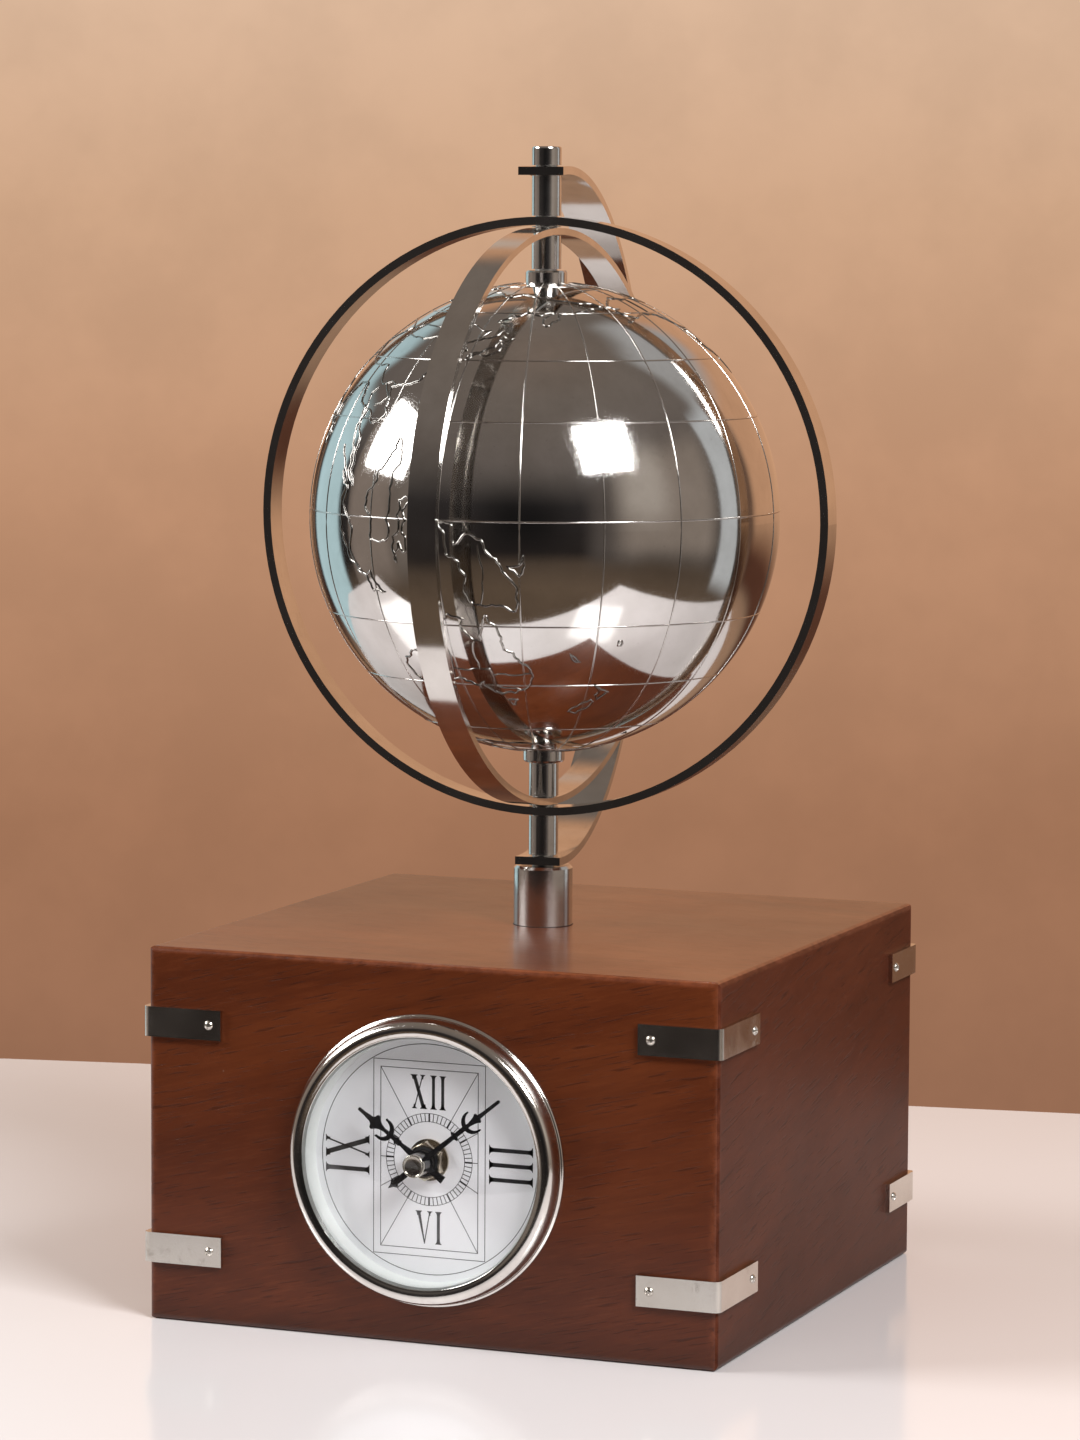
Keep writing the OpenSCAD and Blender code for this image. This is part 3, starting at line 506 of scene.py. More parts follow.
COASTS = [
    # Africa
    [(-6, 36), (-2, 35), (3, 37), (10, 37), (11, 34), (15, 32), (20, 31), (20, 33), (25, 32), (30, 31), (34, 31), (33, 28), (36, 22), (39, 16),
     (43, 12), (51, 12), (48, 5), (41, -2), (39, -7), (40, -15), (35, -20), (35, -24), (32, -28), (28, -33), (20, -35), (18, -33),
     (15, -27), (12, -18), (13, -10), (9, -2), (9, 4), (4, 6), (-4, 5), (-8, 4), (-13, 8), (-17, 14), (-16, 20), (-13, 27), (-9, 32)],
    # Europe and Asia
    [(-6, 36), (-9, 37), (-9, 43), (-2, 43), (-1, 46), (-5, 48), (0, 49), (4, 52), (8, 54), (8, 57), (10, 57), (10, 54), (14, 54),
     (19, 54), (21, 57), (24, 57), (24, 59), (29, 60), (23, 60), (21, 61), (22, 64), (25, 65), (21, 65), (17, 61), (17, 59), (15, 56),
     (12, 56), (11, 59), (6, 58), (5, 61), (10, 64), (15, 68), (20, 70), (28, 71), (32, 70), (41, 67), (40, 65), (35, 64), (37, 66),
     (44, 66), (46, 68), (54, 68), (60, 69), (68, 68), (67, 72), (72, 73), (74, 68), (75, 72), (80, 73), (87, 75), (98, 76), (104, 77),
     (113, 74), (124, 73), (130, 71), (140, 73), (150, 71), (160, 70), (170, 69), (180, 68), (190, 66), (187, 64), (180, 65), (177, 62),
     (170, 60), (163, 59), (163, 56), (157, 51), (156, 57), (162, 61), (155, 59), (142, 59), (136, 54), (141, 53), (140, 48), (133, 43),
     (130, 42), (127, 40), (129, 36), (126, 34), (126, 37), (122, 39), (118, 39), (119, 36), (122, 37), (120, 34), (122, 31), (120, 27),
     (117, 23), (110, 21), (106, 20), (108, 15), (109, 12), (105, 9), (103, 11), (100, 13), (99, 9), (103, 2), (101, 3), (98, 8),
     (98, 14), (94, 16), (92, 21), (87, 21), (82, 16), (80, 13), (78, 8), (75, 12), (73, 17), (72, 21), (69, 22), (67, 25), (61, 25),
     (57, 26), (51, 28), (48, 30), (50, 26), (52, 24), (56, 26), (59, 22), (55, 17), (45, 13), (43, 14), (39, 21), (35, 28), (34, 31),
     (36, 36), (31, 36), (27, 37), (26, 40), (33, 42), (41, 41), (38, 45), (39, 47), (34, 45), (31, 46), (28, 43), (28, 41), (24, 40),
     (23, 38), (22, 36), (19, 41), (14, 45), (12, 44), (16, 41), (18, 40), (16, 38), (12, 42), (8, 44), (3, 43), (0, 40), (-2, 37)],
    # North America
    [(-168, 66), (-162, 69), (-156, 71), (-140, 70), (-128, 70), (-115, 68), (-105, 68), (-95, 68), (-94, 72), (-85, 69), (-82, 67),
     (-87, 64), (-94, 61), (-93, 58), (-87, 56), (-82, 55), (-80, 51), (-78, 54), (-77, 57), (-78, 62), (-71, 61), (-66, 58), (-62, 57),
     (-56, 52), (-60, 50), (-66, 50), (-64, 47), (-61, 46), (-66, 44), (-70, 43), (-70, 41), (-74, 40), (-76, 36), (-81, 31), (-80, 26),
     (-82, 28), (-84, 30), (-90, 29), (-95, 29), (-97, 25), (-97, 21), (-94, 18), (-91, 19), (-90, 21), (-87, 21), (-88, 16), (-83, 15),
     (-83, 11), (-80, 9), (-77, 8), (-80, 7), (-83, 8), (-86, 11), (-92, 14), (-97, 16), (-105, 20), (-109, 26), (-113, 31), (-114, 31),
     (-110, 24), (-112, 26), (-117, 33), (-121, 35), (-124, 40), (-124, 47), (-123, 49), (-128, 51), (-132, 56), (-140, 60),
     (-150, 60), (-156, 57), (-164, 54), (-158, 58), (-163, 60), (-165, 62), (-161, 64)],
    # Greenland, South America
    [(-45, 60), (-51, 64), (-54, 69), (-58, 75), (-70, 77), (-60, 82), (-35, 83), (-20, 80), (-20, 74), (-25, 70), (-38, 66), (-43, 60)],
    [(-77, 8), (-72, 12), (-65, 10), (-60, 8), (-51, 4), (-50, 0), (-44, -2), (-35, -6), (-38, -13), (-40, -21), (-47, -25), (-53, -33),
     (-58, -35), (-57, -38), (-62, -39), (-65, -42), (-66, -46), (-69, -51), (-68, -55), (-74, -52), (-75, -47), (-73, -40), (-71, -30),
     (-70, -19), (-76, -14), (-81, -5), (-80, 1), (-77, 5)],
    # Australia, Tasmania, New Zealand
    [(114, -22), (113, -26), (115, -32), (118, -35), (124, -33), (129, -32), (134, -33), (136, -35), (138, -33), (138, -35), (141, -38),
     (145, -38), (150, -37), (153, -32), (153, -27), (150, -22), (146, -19), (145, -15), (142, -11), (141, -13), (140, -17), (137, -16),
     (135, -14), (136, -12), (132, -11), (129, -15), (126, -14), (122, -18), (118, -20)],
    [(145, -41), (148, -41), (147, -43), (146, -43)],
    [(173, -34), (175, -37), (178, -38), (177, -39), (175, -41), (174, -39), (175, -38), (174, -36)],
    [(173, -41), (174, -42), (173, -44), (171, -45), (169, -47), (166, -46), (168, -44), (171, -42)],
    # islands of the south seas
    [(131, -1), (134, -1), (135, -3), (138, -2), (144, -4), (148, -6), (150, -10), (147, -9), (143, -9), (138, -8), (138, -6), (133, -4)],
    [(109, 1), (111, 2), (115, 5), (117, 7), (119, 5), (117, 1), (116, -3), (111, -3), (109, 0)],
    [(95, 6), (98, 4), (101, 2), (104, -2), (106, -6), (102, -4), (99, 0)],
    [(105, -6), (110, -6), (114, -8), (110, -8)],
    [(119, -5), (120, -2), (120, 1), (124, 1), (121, 0), (122, -1), (121, -2), (122, -4), (120, -3)],
    [(120, 18), (122, 18), (121, 15), (124, 13), (121, 14)],
    [(122, 7), (125, 9), (126, 7), (125, 6)],
    [(148, -5), (150, -5), (152, -4), (151, -6)],
    [(164, -20), (167, -22), (166, -22)],
    [(177, -17), (178, -17), (178, -18), (177, -18)],
    # Japan, Sakhalin, Taiwan
    [(131, 34), (133, 35), (136, 37), (139, 38), (140, 41), (142, 39), (141, 36), (138, 34), (136, 33)],
    [(140, 42), (141, 45), (145, 43), (143, 42)],
    [(130, 33), (132, 33), (131, 31), (130, 31)],
    [(142, 54), (143, 49), (142, 46), (142, 50)],
    [(121, 25), (122, 25), (121, 22), (120, 23)],
    # Britain, Ireland, Iceland, Madagascar, Sri Lanka
    [(-5, 50), (1, 51), (1, 53), (-1, 55), (-2, 57), (-5, 58), (-5, 56), (-3, 54), (-4, 53), (-3, 51)],
    [(-6, 52), (-10, 52), (-9, 54), (-7, 55), (-6, 54)],
    [(-24, 65), (-22, 66), (-16, 66), (-14, 65), (-18, 63), (-22, 64)],
    [(49, -12), (50, -16), (47, -25), (44, -23), (44, -17)],
    [(80, 9), (82, 7), (80, 6)],
    # Arctic islands, Caribbean
    [(52, 71), (56, 73), (68, 77), (60, 75), (55, 71)],
    [(-62, 66), (-68, 70), (-80, 73), (-88, 73), (-78, 70), (-73, 68), (-65, 62), (-68, 64)],
    [(-115, 73), (-105, 73), (-102, 69), (-112, 68), (-117, 70)],
    [(-62, 82), (-75, 83), (-90, 81), (-85, 76), (-78, 77)],
    [(-85, 22), (-80, 23), (-74, 20), (-77, 20)],
    # Antarctica
    [(-60, -64), (-65, -68), (-62, -75), (-30, -77), (-10, -71), (20, -70), (50, -67), (80, -68), (110, -66), (140, -66), (165, -71),
     (170, -77), (200, -78), (230, -74), (260, -73), (285, -72), (294, -66)],
]
BORDERS = [
    [(129, -15), (129, -32)], [(129, -26), (138, -26)], [(138, -17), (138, -26), (141, -26), (141, -38)], [(141, -29), (147, -29), (153, -28)],
    [(141, -34), (144, -36), (148, -36), (150, -37)], [(141, -3), (141, -9)],
    [(-123, 49), (-110, 49), (-95, 49), (-89, 48), (-83, 46), (-82, 42), (-79, 43), (-75, 45), (-70, 46), (-67, 45)],
    [(-141, 60), (-141, 70)], [(-117, 32), (-111, 31), (-106, 32), (-103, 29), (-99, 27), (-97, 26)],
    [(74, 39), (80, 44), (83, 46), (87, 49), (91, 46), (97, 43), (105, 42), (112, 44), (119, 47), (116, 50), (120, 53), (126, 52), (131, 48),
     (135, 48), (131, 43)],
    [(74, 39), (79, 33), (81, 30), (88, 28), (97, 28), (98, 24), (101, 21), (106, 22), (108, 21)],
    [(87, 49), (98, 51), (107, 50), (116, 50)], [(49, 46), (51, 51), (61, 51), (61, 54), (70, 55), (77, 53), (87, 49)],
    [(-51, 4), (-60, 4), (-64, 2), (-70, 0), (-70, -4), (-73, -8), (-70, -11), (-65, -11), (-60, -14), (-58, -20), (-54, -25), (-57, -30), (-53, -33)],
    [(-70, -18), (-68, -23), (-70, -34), (-72, -45), (-72, -51)], [(61, 25), (61, 35), (54, 37)], [(45, 37), (54, 37), (61, 36), (67, 37), (74, 37)],
    [(67, 24), (70, 28), (75, 33), (79, 33)], [(25, 22), (25, 31)], [(25, 22), (36, 22)], [(-9, 27), (0, 22), (10, 19), (24, 20)],
    [(20, -18), (20, -28), (26, -25), (31, -22), (32, -27)], [(12, -6), (17, -8), (22, -11), (24, -17)], [(30, 4), (30, -4), (29, -12), (34, -12)],
    [(24, 58), (28, 56), (32, 52), (38, 49)], [(14, 54), (15, 50), (19, 49), (24, 50), (24, 54)], [(2, 51), (6, 49), (7, 46), (7, 43)],
    [(98, 8), (99, 14), (98, 18), (100, 20)], [(102, 14), (105, 15), (107, 17), (104, 20), (102, 22)], [(12, 56), (12, 62), (16, 68), (25, 69)],
]
KN = [(-90, -90), (-37, -42), (-22, -33), (-9, -18), (8, 24), (24, 38), (32, 44), (66, 64), (90, 90)]


def map_lat(e):
    for (a, u), (b, v) in zip(KN, KN[1:]):
        if e <= b:
            return u + (v - u) * (e - a) / (b - a)
    return e


COAST_EAST = 9.0  # the stamped outlines lie this far east of the grid lines
rng = random.Random(20)


def rough_line(pts, closed, amp):
    """Breaks a coarse outline into small irregular steps, the same on each run."""
    p = [np.array([x, map_lat(y)], float) for x, y in pts]
    if closed:
        p.append(p[0])
    for level in range(3):
        out = [p[0]]
        for a, b in zip(p, p[1:]):
            d = b - a
            size = math.hypot(d[0] * math.cos(math.radians((a[1] + b[1]) / 2)), d[1])
            if size < 1.1:
                out.append(b)
                continue
            off = rng.uniform(-1, 1) * amp * size
            nrm = np.array([-d[1], d[0]])
            nrm /= (np.linalg.norm(nrm) + 1e-9)
            out.append((a + b) / 2 + nrm * off)
            out.append(b)
        p = out
    if closed:
        p = p[:-1]
    return [vec_ll(q[0] - SPAN + COAST_EAST, max(-84, min(84, q[1]))) for q in p]


coast = Build()
for line in COASTS:
    ridge(coast, rough_line(line, True, 0.22), 0.72, 0.27, closed=True)
for line in BORDERS:
    ridge(coast, rough_line(line, False, 0.09), 0.56, 0.20)
ob = make_mesh("globe_coastlines", coast.v, coast.f, M["coast_line"], sharp=75)
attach(ob, "globe")


# -------------------------------------------------------------- clock bezel
def smooth_profile(pts, hard, steps=4):
    """Catmull-Rom through a run of points; the others stay as sharp corners."""
    out = []
    n = len(pts)
    for i in range(n):
        p1, p2 = pts[i], pts[(i + 1) % n]
        out.append(p1)
        if i in hard:
            p0, p3 = pts[i - 1], pts[(i + 2) % n]
            for s in range(1, steps):
                t = s / steps
                out.append(tuple(0.5 * ((2 * p1[q]) + (-p0[q] + p2[q]) * t + (2 * p0[q] - 5 * p1[q] + 4 * p2[q] - p3[q]) * t * t
                                        + (-p0[q] + 3 * p1[q] - 3 * p2[q] + p3[q]) * t ** 3) for q in (0, 1)))
    return out


prof = [(34.5, -1.4), (34.93, -1.4), (34.93, 0.0), (38.25, 0.0), (38.38, 0.14), (38.38, 0.72), (38.22, 1.0), (37.95, 1.14), (37.76, 1.26),
        (37.62, 1.6), (37.5, 2.5), (37.25, 3.8), (36.85, 4.8), (36.25, 5.5), (35.5, 5.9), (34.8, 5.98), (34.1, 5.9), (33.5, 5.74),
        (33.12, 5.66), (33.05, 5.60), (34.4, 5.56)]
prof = smooth_profile(prof, set(range(8, 18)), 4)
v, f = lathe_front(prof, 288)
ob = make_mesh("bezel_ring", v, f, M["bezel_chrome"], sharp=38)
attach(ob, "stand")
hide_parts("bezel")


# polished cap on the hands: a raised rim round a shallow dish
prof = [(0.02, 0.04), (3.02, 0.04), (3.04, 0.10), (3.04, 1.02), (3.01, 1.14), (2.94, 1.23), (2.82, 1.28), (2.70, 1.28), (2.60, 1.23), (2.54, 1.14),
        (2.50, 1.02), (2.44, 0.94), (2.30, 0.91), (1.20, 0.885), (0.02, 0.88)]
v, f = lathe_front([(r, 8.0 + h) for r, h in prof], 96)
ob = make_mesh("cap_dished", v, f, M["cap_nickel"], sharp=60)
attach(ob, "minute_hand")
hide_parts("hand_cap")


# painted contact shadow: a thin dark ring where the ferrule stands on the lacquered top
prof = [(8.005, 0.01), (8.10, 0.01), (8.14, 0.05), (8.13, 0.12), (8.08, 0.20), (8.005, 0.24)]
v, f = [], []
for i in range(128):
    a = 2 * math.pi * i / 128
    v += [(r * math.cos(a), r * math.sin(a), 100.0 + h) for r, h in prof]
    j = (i + 1) % 128
    f += [(i * 6 + q, j * 6 + q, j * 6 + (q + 1) % 6, i * 6 + (q + 1) % 6) for q in range(6)]
ob = make_mesh("ferrule_contact_shadow", v, f, M["contact_shadow_paint"], sharp=60)
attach(ob, "stand")


# --------------------------------------------------------------- dial print
def slab(build, pts, z0, z1):
    """A flat printed shape from an outline of (x, z), a hair above the dial."""
    n = len(pts)
    area = sum(pts[i][0] * pts[(i + 1) % n][1] - pts[(i + 1) % n][0] * pts[i][1] for i in range(n))
    if area < 0:
        pts = pts[::-1]
    verts = [front(x, z, z1) for x, z in pts] + [front(x, z, z0) for x, z in pts]
    faces = [tuple(range(n)), tuple(range(2 * n - 1, n - 1, -1))]
    faces += [(i, n + i, n + (i + 1) % n, (i + 1) % n) for i in range(n)]
    build.add(verts, faces)


def stroke(build, a, b, w, z0, z1):
    a, b = np.array(a, float), np.array(b, float)
    d = (b - a) / np.linalg.norm(b - a)
    s = np.array([-d[1], d[0]]) * w / 2
    slab(build, [tuple(a - s), tuple(b - s), tuple(b + s), tuple(a + s)], z0, z1)


def circle_line(build, r, w, z0, z1, seg=200):
    verts, faces = [], []
    prof = [(r - w / 2, z0), (r + w / 2, z0), (r + w / 2, z1), (r - w / 2, z1)]
    v2, f2 = lathe_front(prof, seg)
    build.add(v2, f2)


P0, P1 = -1.512, -1.470
lines = Build()
circle_line(lines, 30.3, 0.19, P0, P1)
circle_line(lines, 12.1, 0.15, P0, P1, 160)
circle_line(lines, 9.95, 0.15, P0, P1, 160)
for hx, hz in ((15.7, 25.6), (13.7, 23.6)):
    c = [(-hx, -hz), (hx, -hz), (hx, hz), (-hx, hz)]
    for i in range(4):
        a, b = np.array(c[i], float), np.array(c[(i + 1) % 4], float)
        d = (b - a) / np.linalg.norm(b - a) * 0.07
        stroke(lines, a - d, b + d, 0.18, P0, P1)
for hour in (1, 2, 3, 4, 5, 7, 8, 9, 10, 11):
    t = math.radians(hour * 30)
    sx, cz = math.sin(t), math.cos(t)
    if hour in (1, 5, 7, 11):
        end = (math.copysign(13.7, sx), math.copysign(23.6, cz))
    else:
        end = (math.copysign(13.7, sx), 13.7 * cz / abs(sx))
    stroke(lines, (12.1 * sx, 12.1 * cz), end, 0.17, P0, P1)
ob = make_mesh("dial_lines", lines.v, lines.f, M["dial_line"], smooth=False)
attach(ob, "stand")

ink = Build()
for i in range(60):
    t = math.radians(i * 6)
    w = 0.46 if i % 5 == 0 else 0.21
    stroke(ink, (9.95 * math.sin(t), 9.95 * math.cos(t)), (12.1 * math.sin(t), 12.1 * math.cos(t)), w, P0, P1 + 0.004)


def serif(build, put, x, w, y, up, half, thin=0.42):
    """A bracketed serif at (x, y): up is +1 when the letter stands above it."""
    t = 0.30
    pts = [(x - half, y), (x + half, y), (x + half, y + up * t * 0.5)]
    for s in range(0, 5):
        a = s / 4 * math.pi / 2
        pts.append((x + w / 2 + (half - w / 2) * (1 - math.sin(a)), y + up * (t * 0.5 + 1.05 * (1 - math.cos(a)))))
    for s in range(4, -1, -1):
        a = s / 4 * math.pi / 2
        pts.append((x - w / 2 - (half - w / 2) * (1 - math.sin(a)), y + up * (t * 0.5 + 1.05 * (1 - math.cos(a)))))
    pts.append((x - half, y + up * t * 0.5))
    slab(build, [put(*p) for p in pts], P0, P1 + 0.008)


def bar(build, put, x0, y0, x1, y1, w0, w1=None):
    """A slanted or upright stroke whose ends are cut level."""
    w1 = w0 if w1 is None else w1
    pts = [(x0 - w0 / 2, y0), (x0 + w0 / 2, y0), (x1 + w1 / 2, y1), (x1 - w1 / 2, y1)]
    slab(build, [put(*p) for p in pts], P0, P1 + 0.008)


def letter_i(build, put, x, h, w, half):
    bar(build, put, x, 0.1, x, h - 0.1, w)
    serif(build, put, x, w, 0.0, 1, half)
    serif(build, put, x, w, h, -1, half)


def letter_x(build, put, x, h, width, thick, thin, half):
    bar(build, put, x - width / 2, h - 0.1, x + width / 2, 0.1, thick)
    bar(build, put, x - width / 2 + 0.1, 0.1, x + width / 2 - 0.3, h - 0.1, thin)
    serif(build, put, x - width / 2, thick, h, -1, half)
    serif(build, put, x + width / 2, thick, 0.0, 1, half)
    serif(build, put, x - width / 2 + 0.1, thin, 0.0, 1, half * 0.72)
    serif(build, put, x + width / 2 - 0.3, thin, h, -1, half * 0.72)


def letter_v(build, put, x, h, width, thick, thin, half):
    bar(build, put, x - width / 2, h - 0.1, x + 0.12, 0.0, thick, thin * 1.1)
    bar(build, put, x + width / 2, h - 0.1, x + 0.05, 0.0, thin, thin)
    serif(build, put, x - width / 2, thick, h, -1, half)
    serif(build, put, x + width / 2, thin, h, -1, half * 0.8)


# XII upright at the top, VI upright at the bottom, III and IX lying with their feet to the centre
put = lambda x, y: (x - 0.1, 13.2 + y)
letter_x(ink, put, -2.85, 8.9, 2.7, 1.0, 0.30, 0.98)
letter_i(ink, put, 1.25, 8.9, 0.82, 0.92)
letter_i(ink, put, 3.85, 8.9, 0.82, 0.92)
put = lambda x, y: (x + 0.1, -22.2 + y)
letter_v(ink, put, -1.45, 8.6, 3.1, 0.85, 0.26, 0.9)
letter_i(ink, put, 2.55, 8.6, 0.82, 0.9)
put = lambda x, y: (16.8 + y, 0.0 - x)
for s in (-3.9, 0.0, 3.9):
    letter_i(ink, put, s, 12.2, 1.05, 1.28)
put = lambda x, y: (-16.9 - y, x)
letter_i(ink, put, -4.0, 12.4, 1.15, 1.28)
letter_x(ink, put, 1.95, 12.4, 4.1, 1.35, 0.42, 1.2)
ob = make_mesh("dial_numerals", ink.v, ink.f, M["dial_ink"], smooth=False)
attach(ob, "stand")


# ---------------------------------------------------------- strap screws
def screw_head(build, at, out, up, turn):
    """A round head with a cross recess; out is the outward unit direction."""
    out, up = Vector(out), Vector(up)
    side = up.cross(out)
    at = Vector(at)
    R, H = 1.25, 0.75
    rr = (R * R + H * H) / (2 * H)
    nr, na = 15, 56
    verts, faces = [], []

    def height(r, a):
        z = H - rr + math.sqrt(max(0.0, rr * rr - r * r))
        x, y = r * math.cos(a - turn), r * math.sin(a - turn)
        d = min(max(abs(x) / 0.78, abs(y) / 0.17), max(abs(y) / 0.78, abs(x) / 0.17))
        cut = max(0.0, min(1.0, (1.12 - d) / 0.24))
        return z - 0.30 * cut * (1 - 0.35 * r / R)

    def point(x, y, z):
        return tuple(at + side * x + up * y + out * z)

    verts.append(point(0, 0, height(0, 0)))
    for i in range(1, nr + 1):
        r = R * i / nr
        for j in range(na):
            a = 2 * math.pi * j / na
            verts.append(point(r * math.cos(a), r * math.sin(a), height(r, a)))
    for j in range(na):
        faces.append((0, 1 + j, 1 + (j + 1) % na))
    for i in range(nr - 1):
        for j in range(na):
            a, b = 1 + i * na, 1 + (i + 1) * na
            faces.append((a + j, b + j, b + (j + 1) % na, a + (j + 1) % na))
    k0 = len(verts)
    for j in range(na):
        a = 2 * math.pi * j / na
        verts.append(point(R * math.cos(a), R * math.sin(a), -0.05))
    rim = 1 + (nr - 1) * na
    for j in range(na):
        faces.append((rim + j, k0 + j, k0 + (j + 1) % na, rim + (j + 1) % na))
    faces.append(tuple(k0 + j for j in range(na))[::-1])
    build.add(verts, faces)


heads = Build()
turns = random.Random(5)
o = 81.2
for z, odd in ((15.6, 15.6), (80.4, 76.1)):
    for sx in (-1, 1):
        zc = (odd if sx < 0 else z) + 4.0
        screw_head(heads, (sx * 62, -o, zc), (0, -1, 0), (0, 0, 1), turns.uniform(0, 1.5))
        screw_head(heads, (sx * o, -56, zc), (sx, 0, 0), (0, 0, 1), turns.uniform(0, 1.5))
        screw_head(heads, (sx * 56, o, z + 4.0), (0, 1, 0), (0, 0, 1), turns.uniform(0, 1.5))
        screw_head(heads, (sx * o, 62, z + 4.0), (sx, 0, 0), (0, 0, 1), turns.uniform(0, 1.5))
ob = make_mesh("strap_screw_heads", heads.v, heads.f, M["screw_steel"], sharp=35)
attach(ob, "stand")
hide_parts("strap_screws")

# ------------------------------------------------------------ camera
yaw, pitch, roll = math.radians(-21.86), math.radians(5.843), math.radians(0.291)
fwd = Vector((math.sin(yaw) * math.cos(pitch), math.cos(yaw) * math.cos(pitch), -math.sin(pitch)))
right = Vector((math.cos(yaw), -math.sin(yaw), 0.0))
up = right.cross(fwd)
r2 = right * math.cos(roll) + up * math.sin(roll)
u2 = -right * math.sin(roll) + up * math.cos(roll)
cam = bpy.data.cameras.new("view")
cam.lens = 125.36
cam.sensor_width = 36.0
cam.sensor_fit = "AUTO"
cam.clip_start = 0.05
cam.clip_end = 60
cam_ob = bpy.data.objects.new("view", cam)
scene.collection.objects.link(cam_ob)
cam_ob.matrix_world = Matrix(((r2.x, u2.x, -fwd.x, 0.5032), (r2.y, u2.y, -fwd.y, -1.2572), (r2.z, u2.z, -fwd.z, 0.2944), (0, 0, 0, 1)))
scene.camera = cam_ob

# ------------------------------------------------------------ stage
k = Net("table_lacquer")
col = k.mix(k.ramp(k.noise(3.0, 3, 0.5), [(0.3, 0.0), (0.7, 1.0)]), (0.80, 0.765, 0.775), (0.84, 0.81, 0.82))
k.bsdf(Base_Color=col, Roughness=k.math("MULTIPLY_ADD", k.noise(14, 4, 0.6), 0.06, 0.10), Specular_IOR_Level=0.5,
       Normal=k.bump(k.noise(6.0, 2, 0.5), 0.0004, 0.10))
M["table"] = k.mat
outline = [(-560, -214), (368, -222), (368, 353), (65, 315), (6, 306), (-260, 279), (-309, 269), (-400, 200), (-456, 161), (-560, 90)]
n = len(outline)
tv = [(x, y, 0.0) for x, y in outline] + [(x, y, -22.0) for x, y in outline]
tf = [tuple(range(n)), tuple(range(2 * n - 1, n - 1, -1))] + [(i, n + i, n + (i + 1) % n, (i + 1) % n) for i in range(n)]
table = make_mesh("table_top", tv, tf, M["table"], smooth=False)
bevel(table, 3.0, 30, 3)


def area(name, az, el, dist, w, h, power, color, aim=(0, 0, 0.15)):
    """A square softbox at a direction and distance from the globe's centre."""
    a, e = math.radians(az), math.radians(el)
    at = Vector((math.cos(e) * math.cos(a), math.cos(e) * math.sin(a), math.sin(e))) * dist + Vector((0, 0, GLOBE_Z * MM))
    d = bpy.data.lights.new(name, "AREA")
    d.shape = "RECTANGLE"
    d.size, d.size_y = w, h
    d.energy = power
    d.color = color
    ob = bpy.data.objects.new(name, d)
    scene.collection.objects.link(ob)
    ob.location = at
    ob.rotation_euler = (Vector(aim) - at).to_track_quat("-Z", "Y").to_euler()
    ob.visible_camera = False
    return ob


area("softbox_right", -35.5, 35, 1.30, 0.53, 0.50, 19.5, (1.0, 0.99, 0.985), (0, 0, 0.211))
area("softbox_left", -157, 27, 1.50, 0.72, 0.62, 18.5, (1.0, 0.985, 0.97), (0, 0, 0.211))

# world: what the metal mirrors, and a plain warm backdrop for the camera
world = bpy.data.worlds.new("studio")
scene.world = world
world.use_nodes = True
w = Net.__new__(Net)
w.t = world.node_tree
w.t.nodes.clear()
w.out = w.t.nodes.new("ShaderNodeOutputWorld")
w.co = w.t.nodes.new("ShaderNodeTexCoord").outputs["Generated"]
dx, dy, dz = w.xyz()
RAD = 180 / math.pi
az = w.math("MULTIPLY", w.math("ARCTAN2", dy, dx), RAD)       # -180..180 from +X to +Y
el = w.math("MULTIPLY", w.math("ARCSINE", dz), RAD)


def window(v, lo, hi, soft):
    a = w.span(v, lo - soft, lo + soft)
    b = w.span(v, hi - soft, hi + soft, 1.0, 0.0)
    return w.math("MULTIPLY", a, b)


def patch(col, color, a0, a1, asoft, e0, e1, esoft, amount=1.0):
    m = w.math("MULTIPLY", window(az, a0, a1, asoft), window(el, e0, e1, esoft))
    if amount != 1.0:
        m = w.math("MULTIPLY", m, amount)
    return w.mix(m, col, color)


# elevation base: floor, dim room, brown-grey ceiling
e01 = w.span(el, -90, 90, smooth=False)
env = w.ramp(e01, [(0.0, (0.11, 0.075, 0.05)), (0.33, (0.142, 0.098, 0.066)), (0.395, (0.098, 0.070, 0.050)), (0.425, (0.026, 0.021, 0.019)),
                   (0.545, (0.032, 0.028, 0.027)), (0.60, (0.100, 0.085, 0.076)), (0.66, (0.165, 0.138, 0.122)), (0.84, (0.20, 0.165, 0.14)),
                   (1.0, (0.23, 0.175, 0.14))])
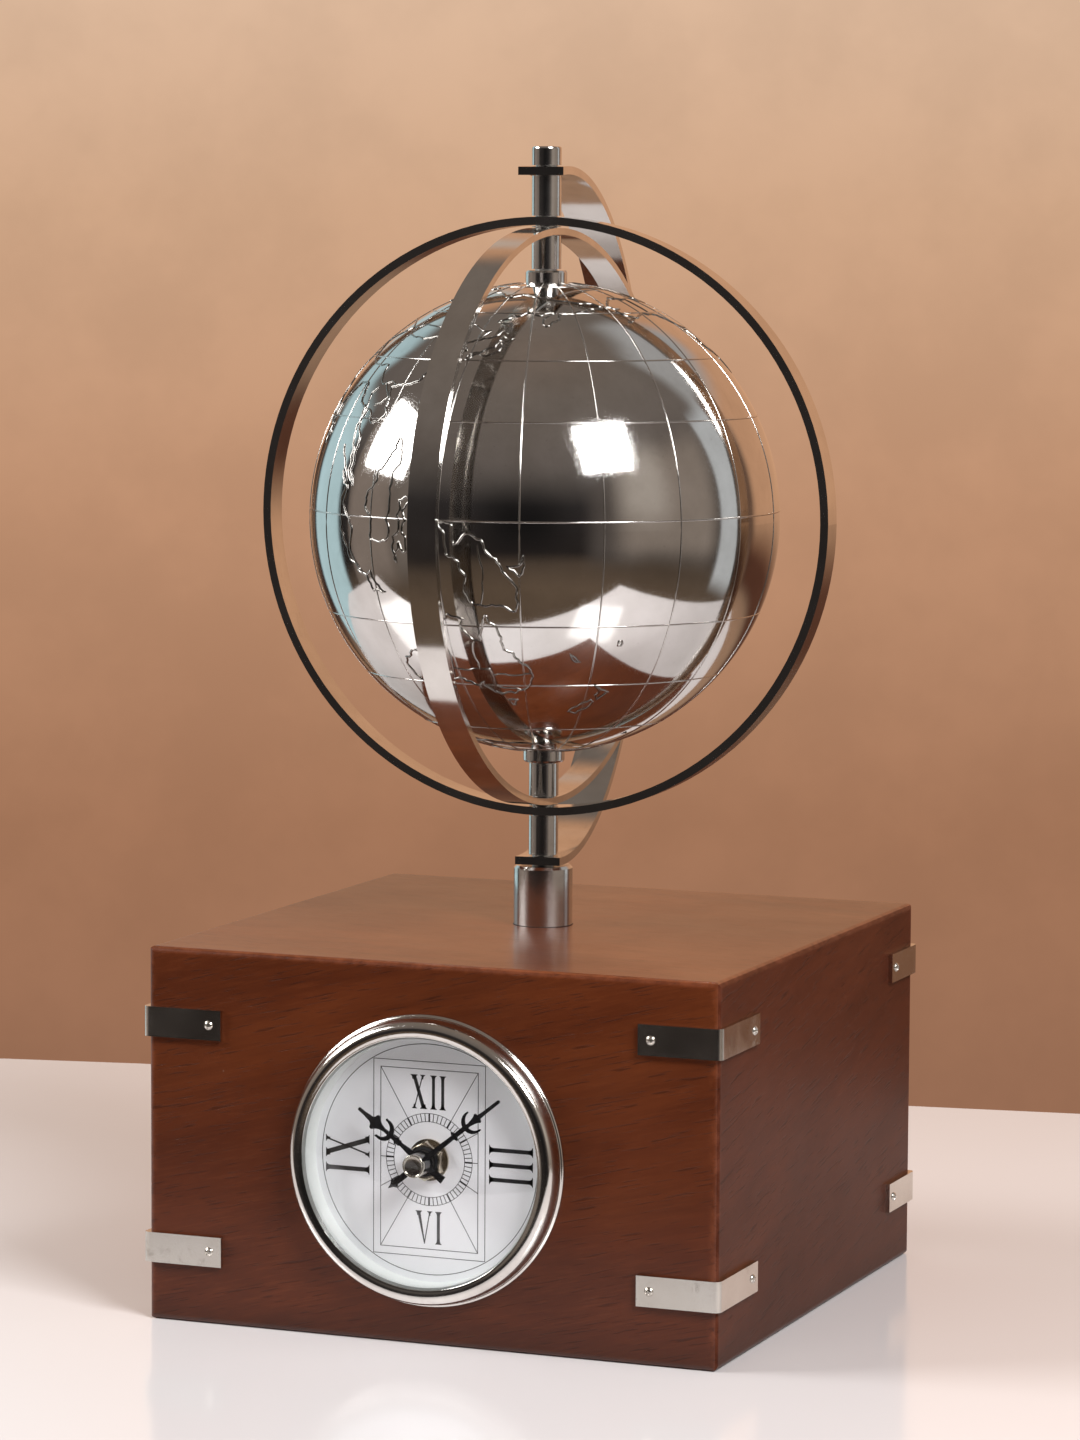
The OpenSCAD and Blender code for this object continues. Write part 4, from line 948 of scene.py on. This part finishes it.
# grey to the left of the camera, cream to the right
env = patch(env, (0.008, 0.0075, 0.0075), -96, -62, 14, -12, 13, 12, 0.85)
env = patch(env, (0.20, 0.165, 0.140), -149, -130, 5, -22, 30, 7)
env = patch(env, (0.27, 0.215, 0.180), -180, -149, 5, -22, 30, 7)
env = patch(env, (0.12, 0.100, 0.088), -46, -20, 6, -17, 26, 7, 0.8)
env = patch(env, (0.30, 0.245, 0.205), -31, 24, 9, -14, 30, 7)
env = patch(env, (0.52, 0.46, 0.40), -30, -6, 8, 2, 32, 9, 0.75)
# peach backdrop behind the object, darker low down
env = patch(env, (0.50, 0.29, 0.18), 50, 140, 8, -70, -18, 6, 0.7)
env = patch(env, (0.11, 0.044, 0.026), 50, 135, 8, -18, -6, 2.5)
env = patch(env, (0.66, 0.36, 0.205), 54, 135, 5, -6, 46, 6)
# pale grey panel and strip at the right, brown edge beside it, cool strip at the left
env = patch(env, (0.44, 0.43, 0.42), 38, 84, 6, 30, 62, 7)
env = patch(env, (0.58, 0.595, 0.60), 27, 43, 1.2, -22, 34, 4)
env = patch(env, (0.17, 0.095, 0.062), 43, 53, 1.2, -30, 34, 5)
env = patch(env, (0.56, 0.76, 0.80), 141, 171, 2, -26, 24, 5)
env = patch(env, (0.54, 0.73, 0.77), 118, 150, 4, 12, 36, 5, 0.9)
# camera rays see a plain warm backdrop, a little darker low down
back = w.ramp(e01, [(0.0, (0.60, 0.52, 0.46)), (0.36, (0.56, 0.44, 0.36)), (0.44, (0.30, 0.145, 0.085)), (0.462, (0.37, 0.18, 0.10)),
                    (0.482, (0.52, 0.28, 0.165)), (0.50, (0.62, 0.38, 0.24)), (0.516, (0.72, 0.49, 0.34)), (0.60, (0.80, 0.62, 0.47)),
                    (1.0, (0.80, 0.70, 0.60))])
mottle = w.span(w.noise(34, 4, 0.6), 0.3, 0.7, 0.95, 1.04)
back = w.mix(1.0, back, mottle, "MULTIPLY")
lp = w.t.nodes.new("ShaderNodeLightPath")
both = w.mix(lp.outputs["Is Camera Ray"], env, back)
bg = w.t.nodes.new("ShaderNodeBackground")
w.link(both, bg.inputs["Color"])
bg.inputs["Strength"].default_value = 1.0
w.link(bg.outputs[0], w.out.inputs["Surface"])

# ------------------------------------------------------------ update
bpy.context.view_layer.update()
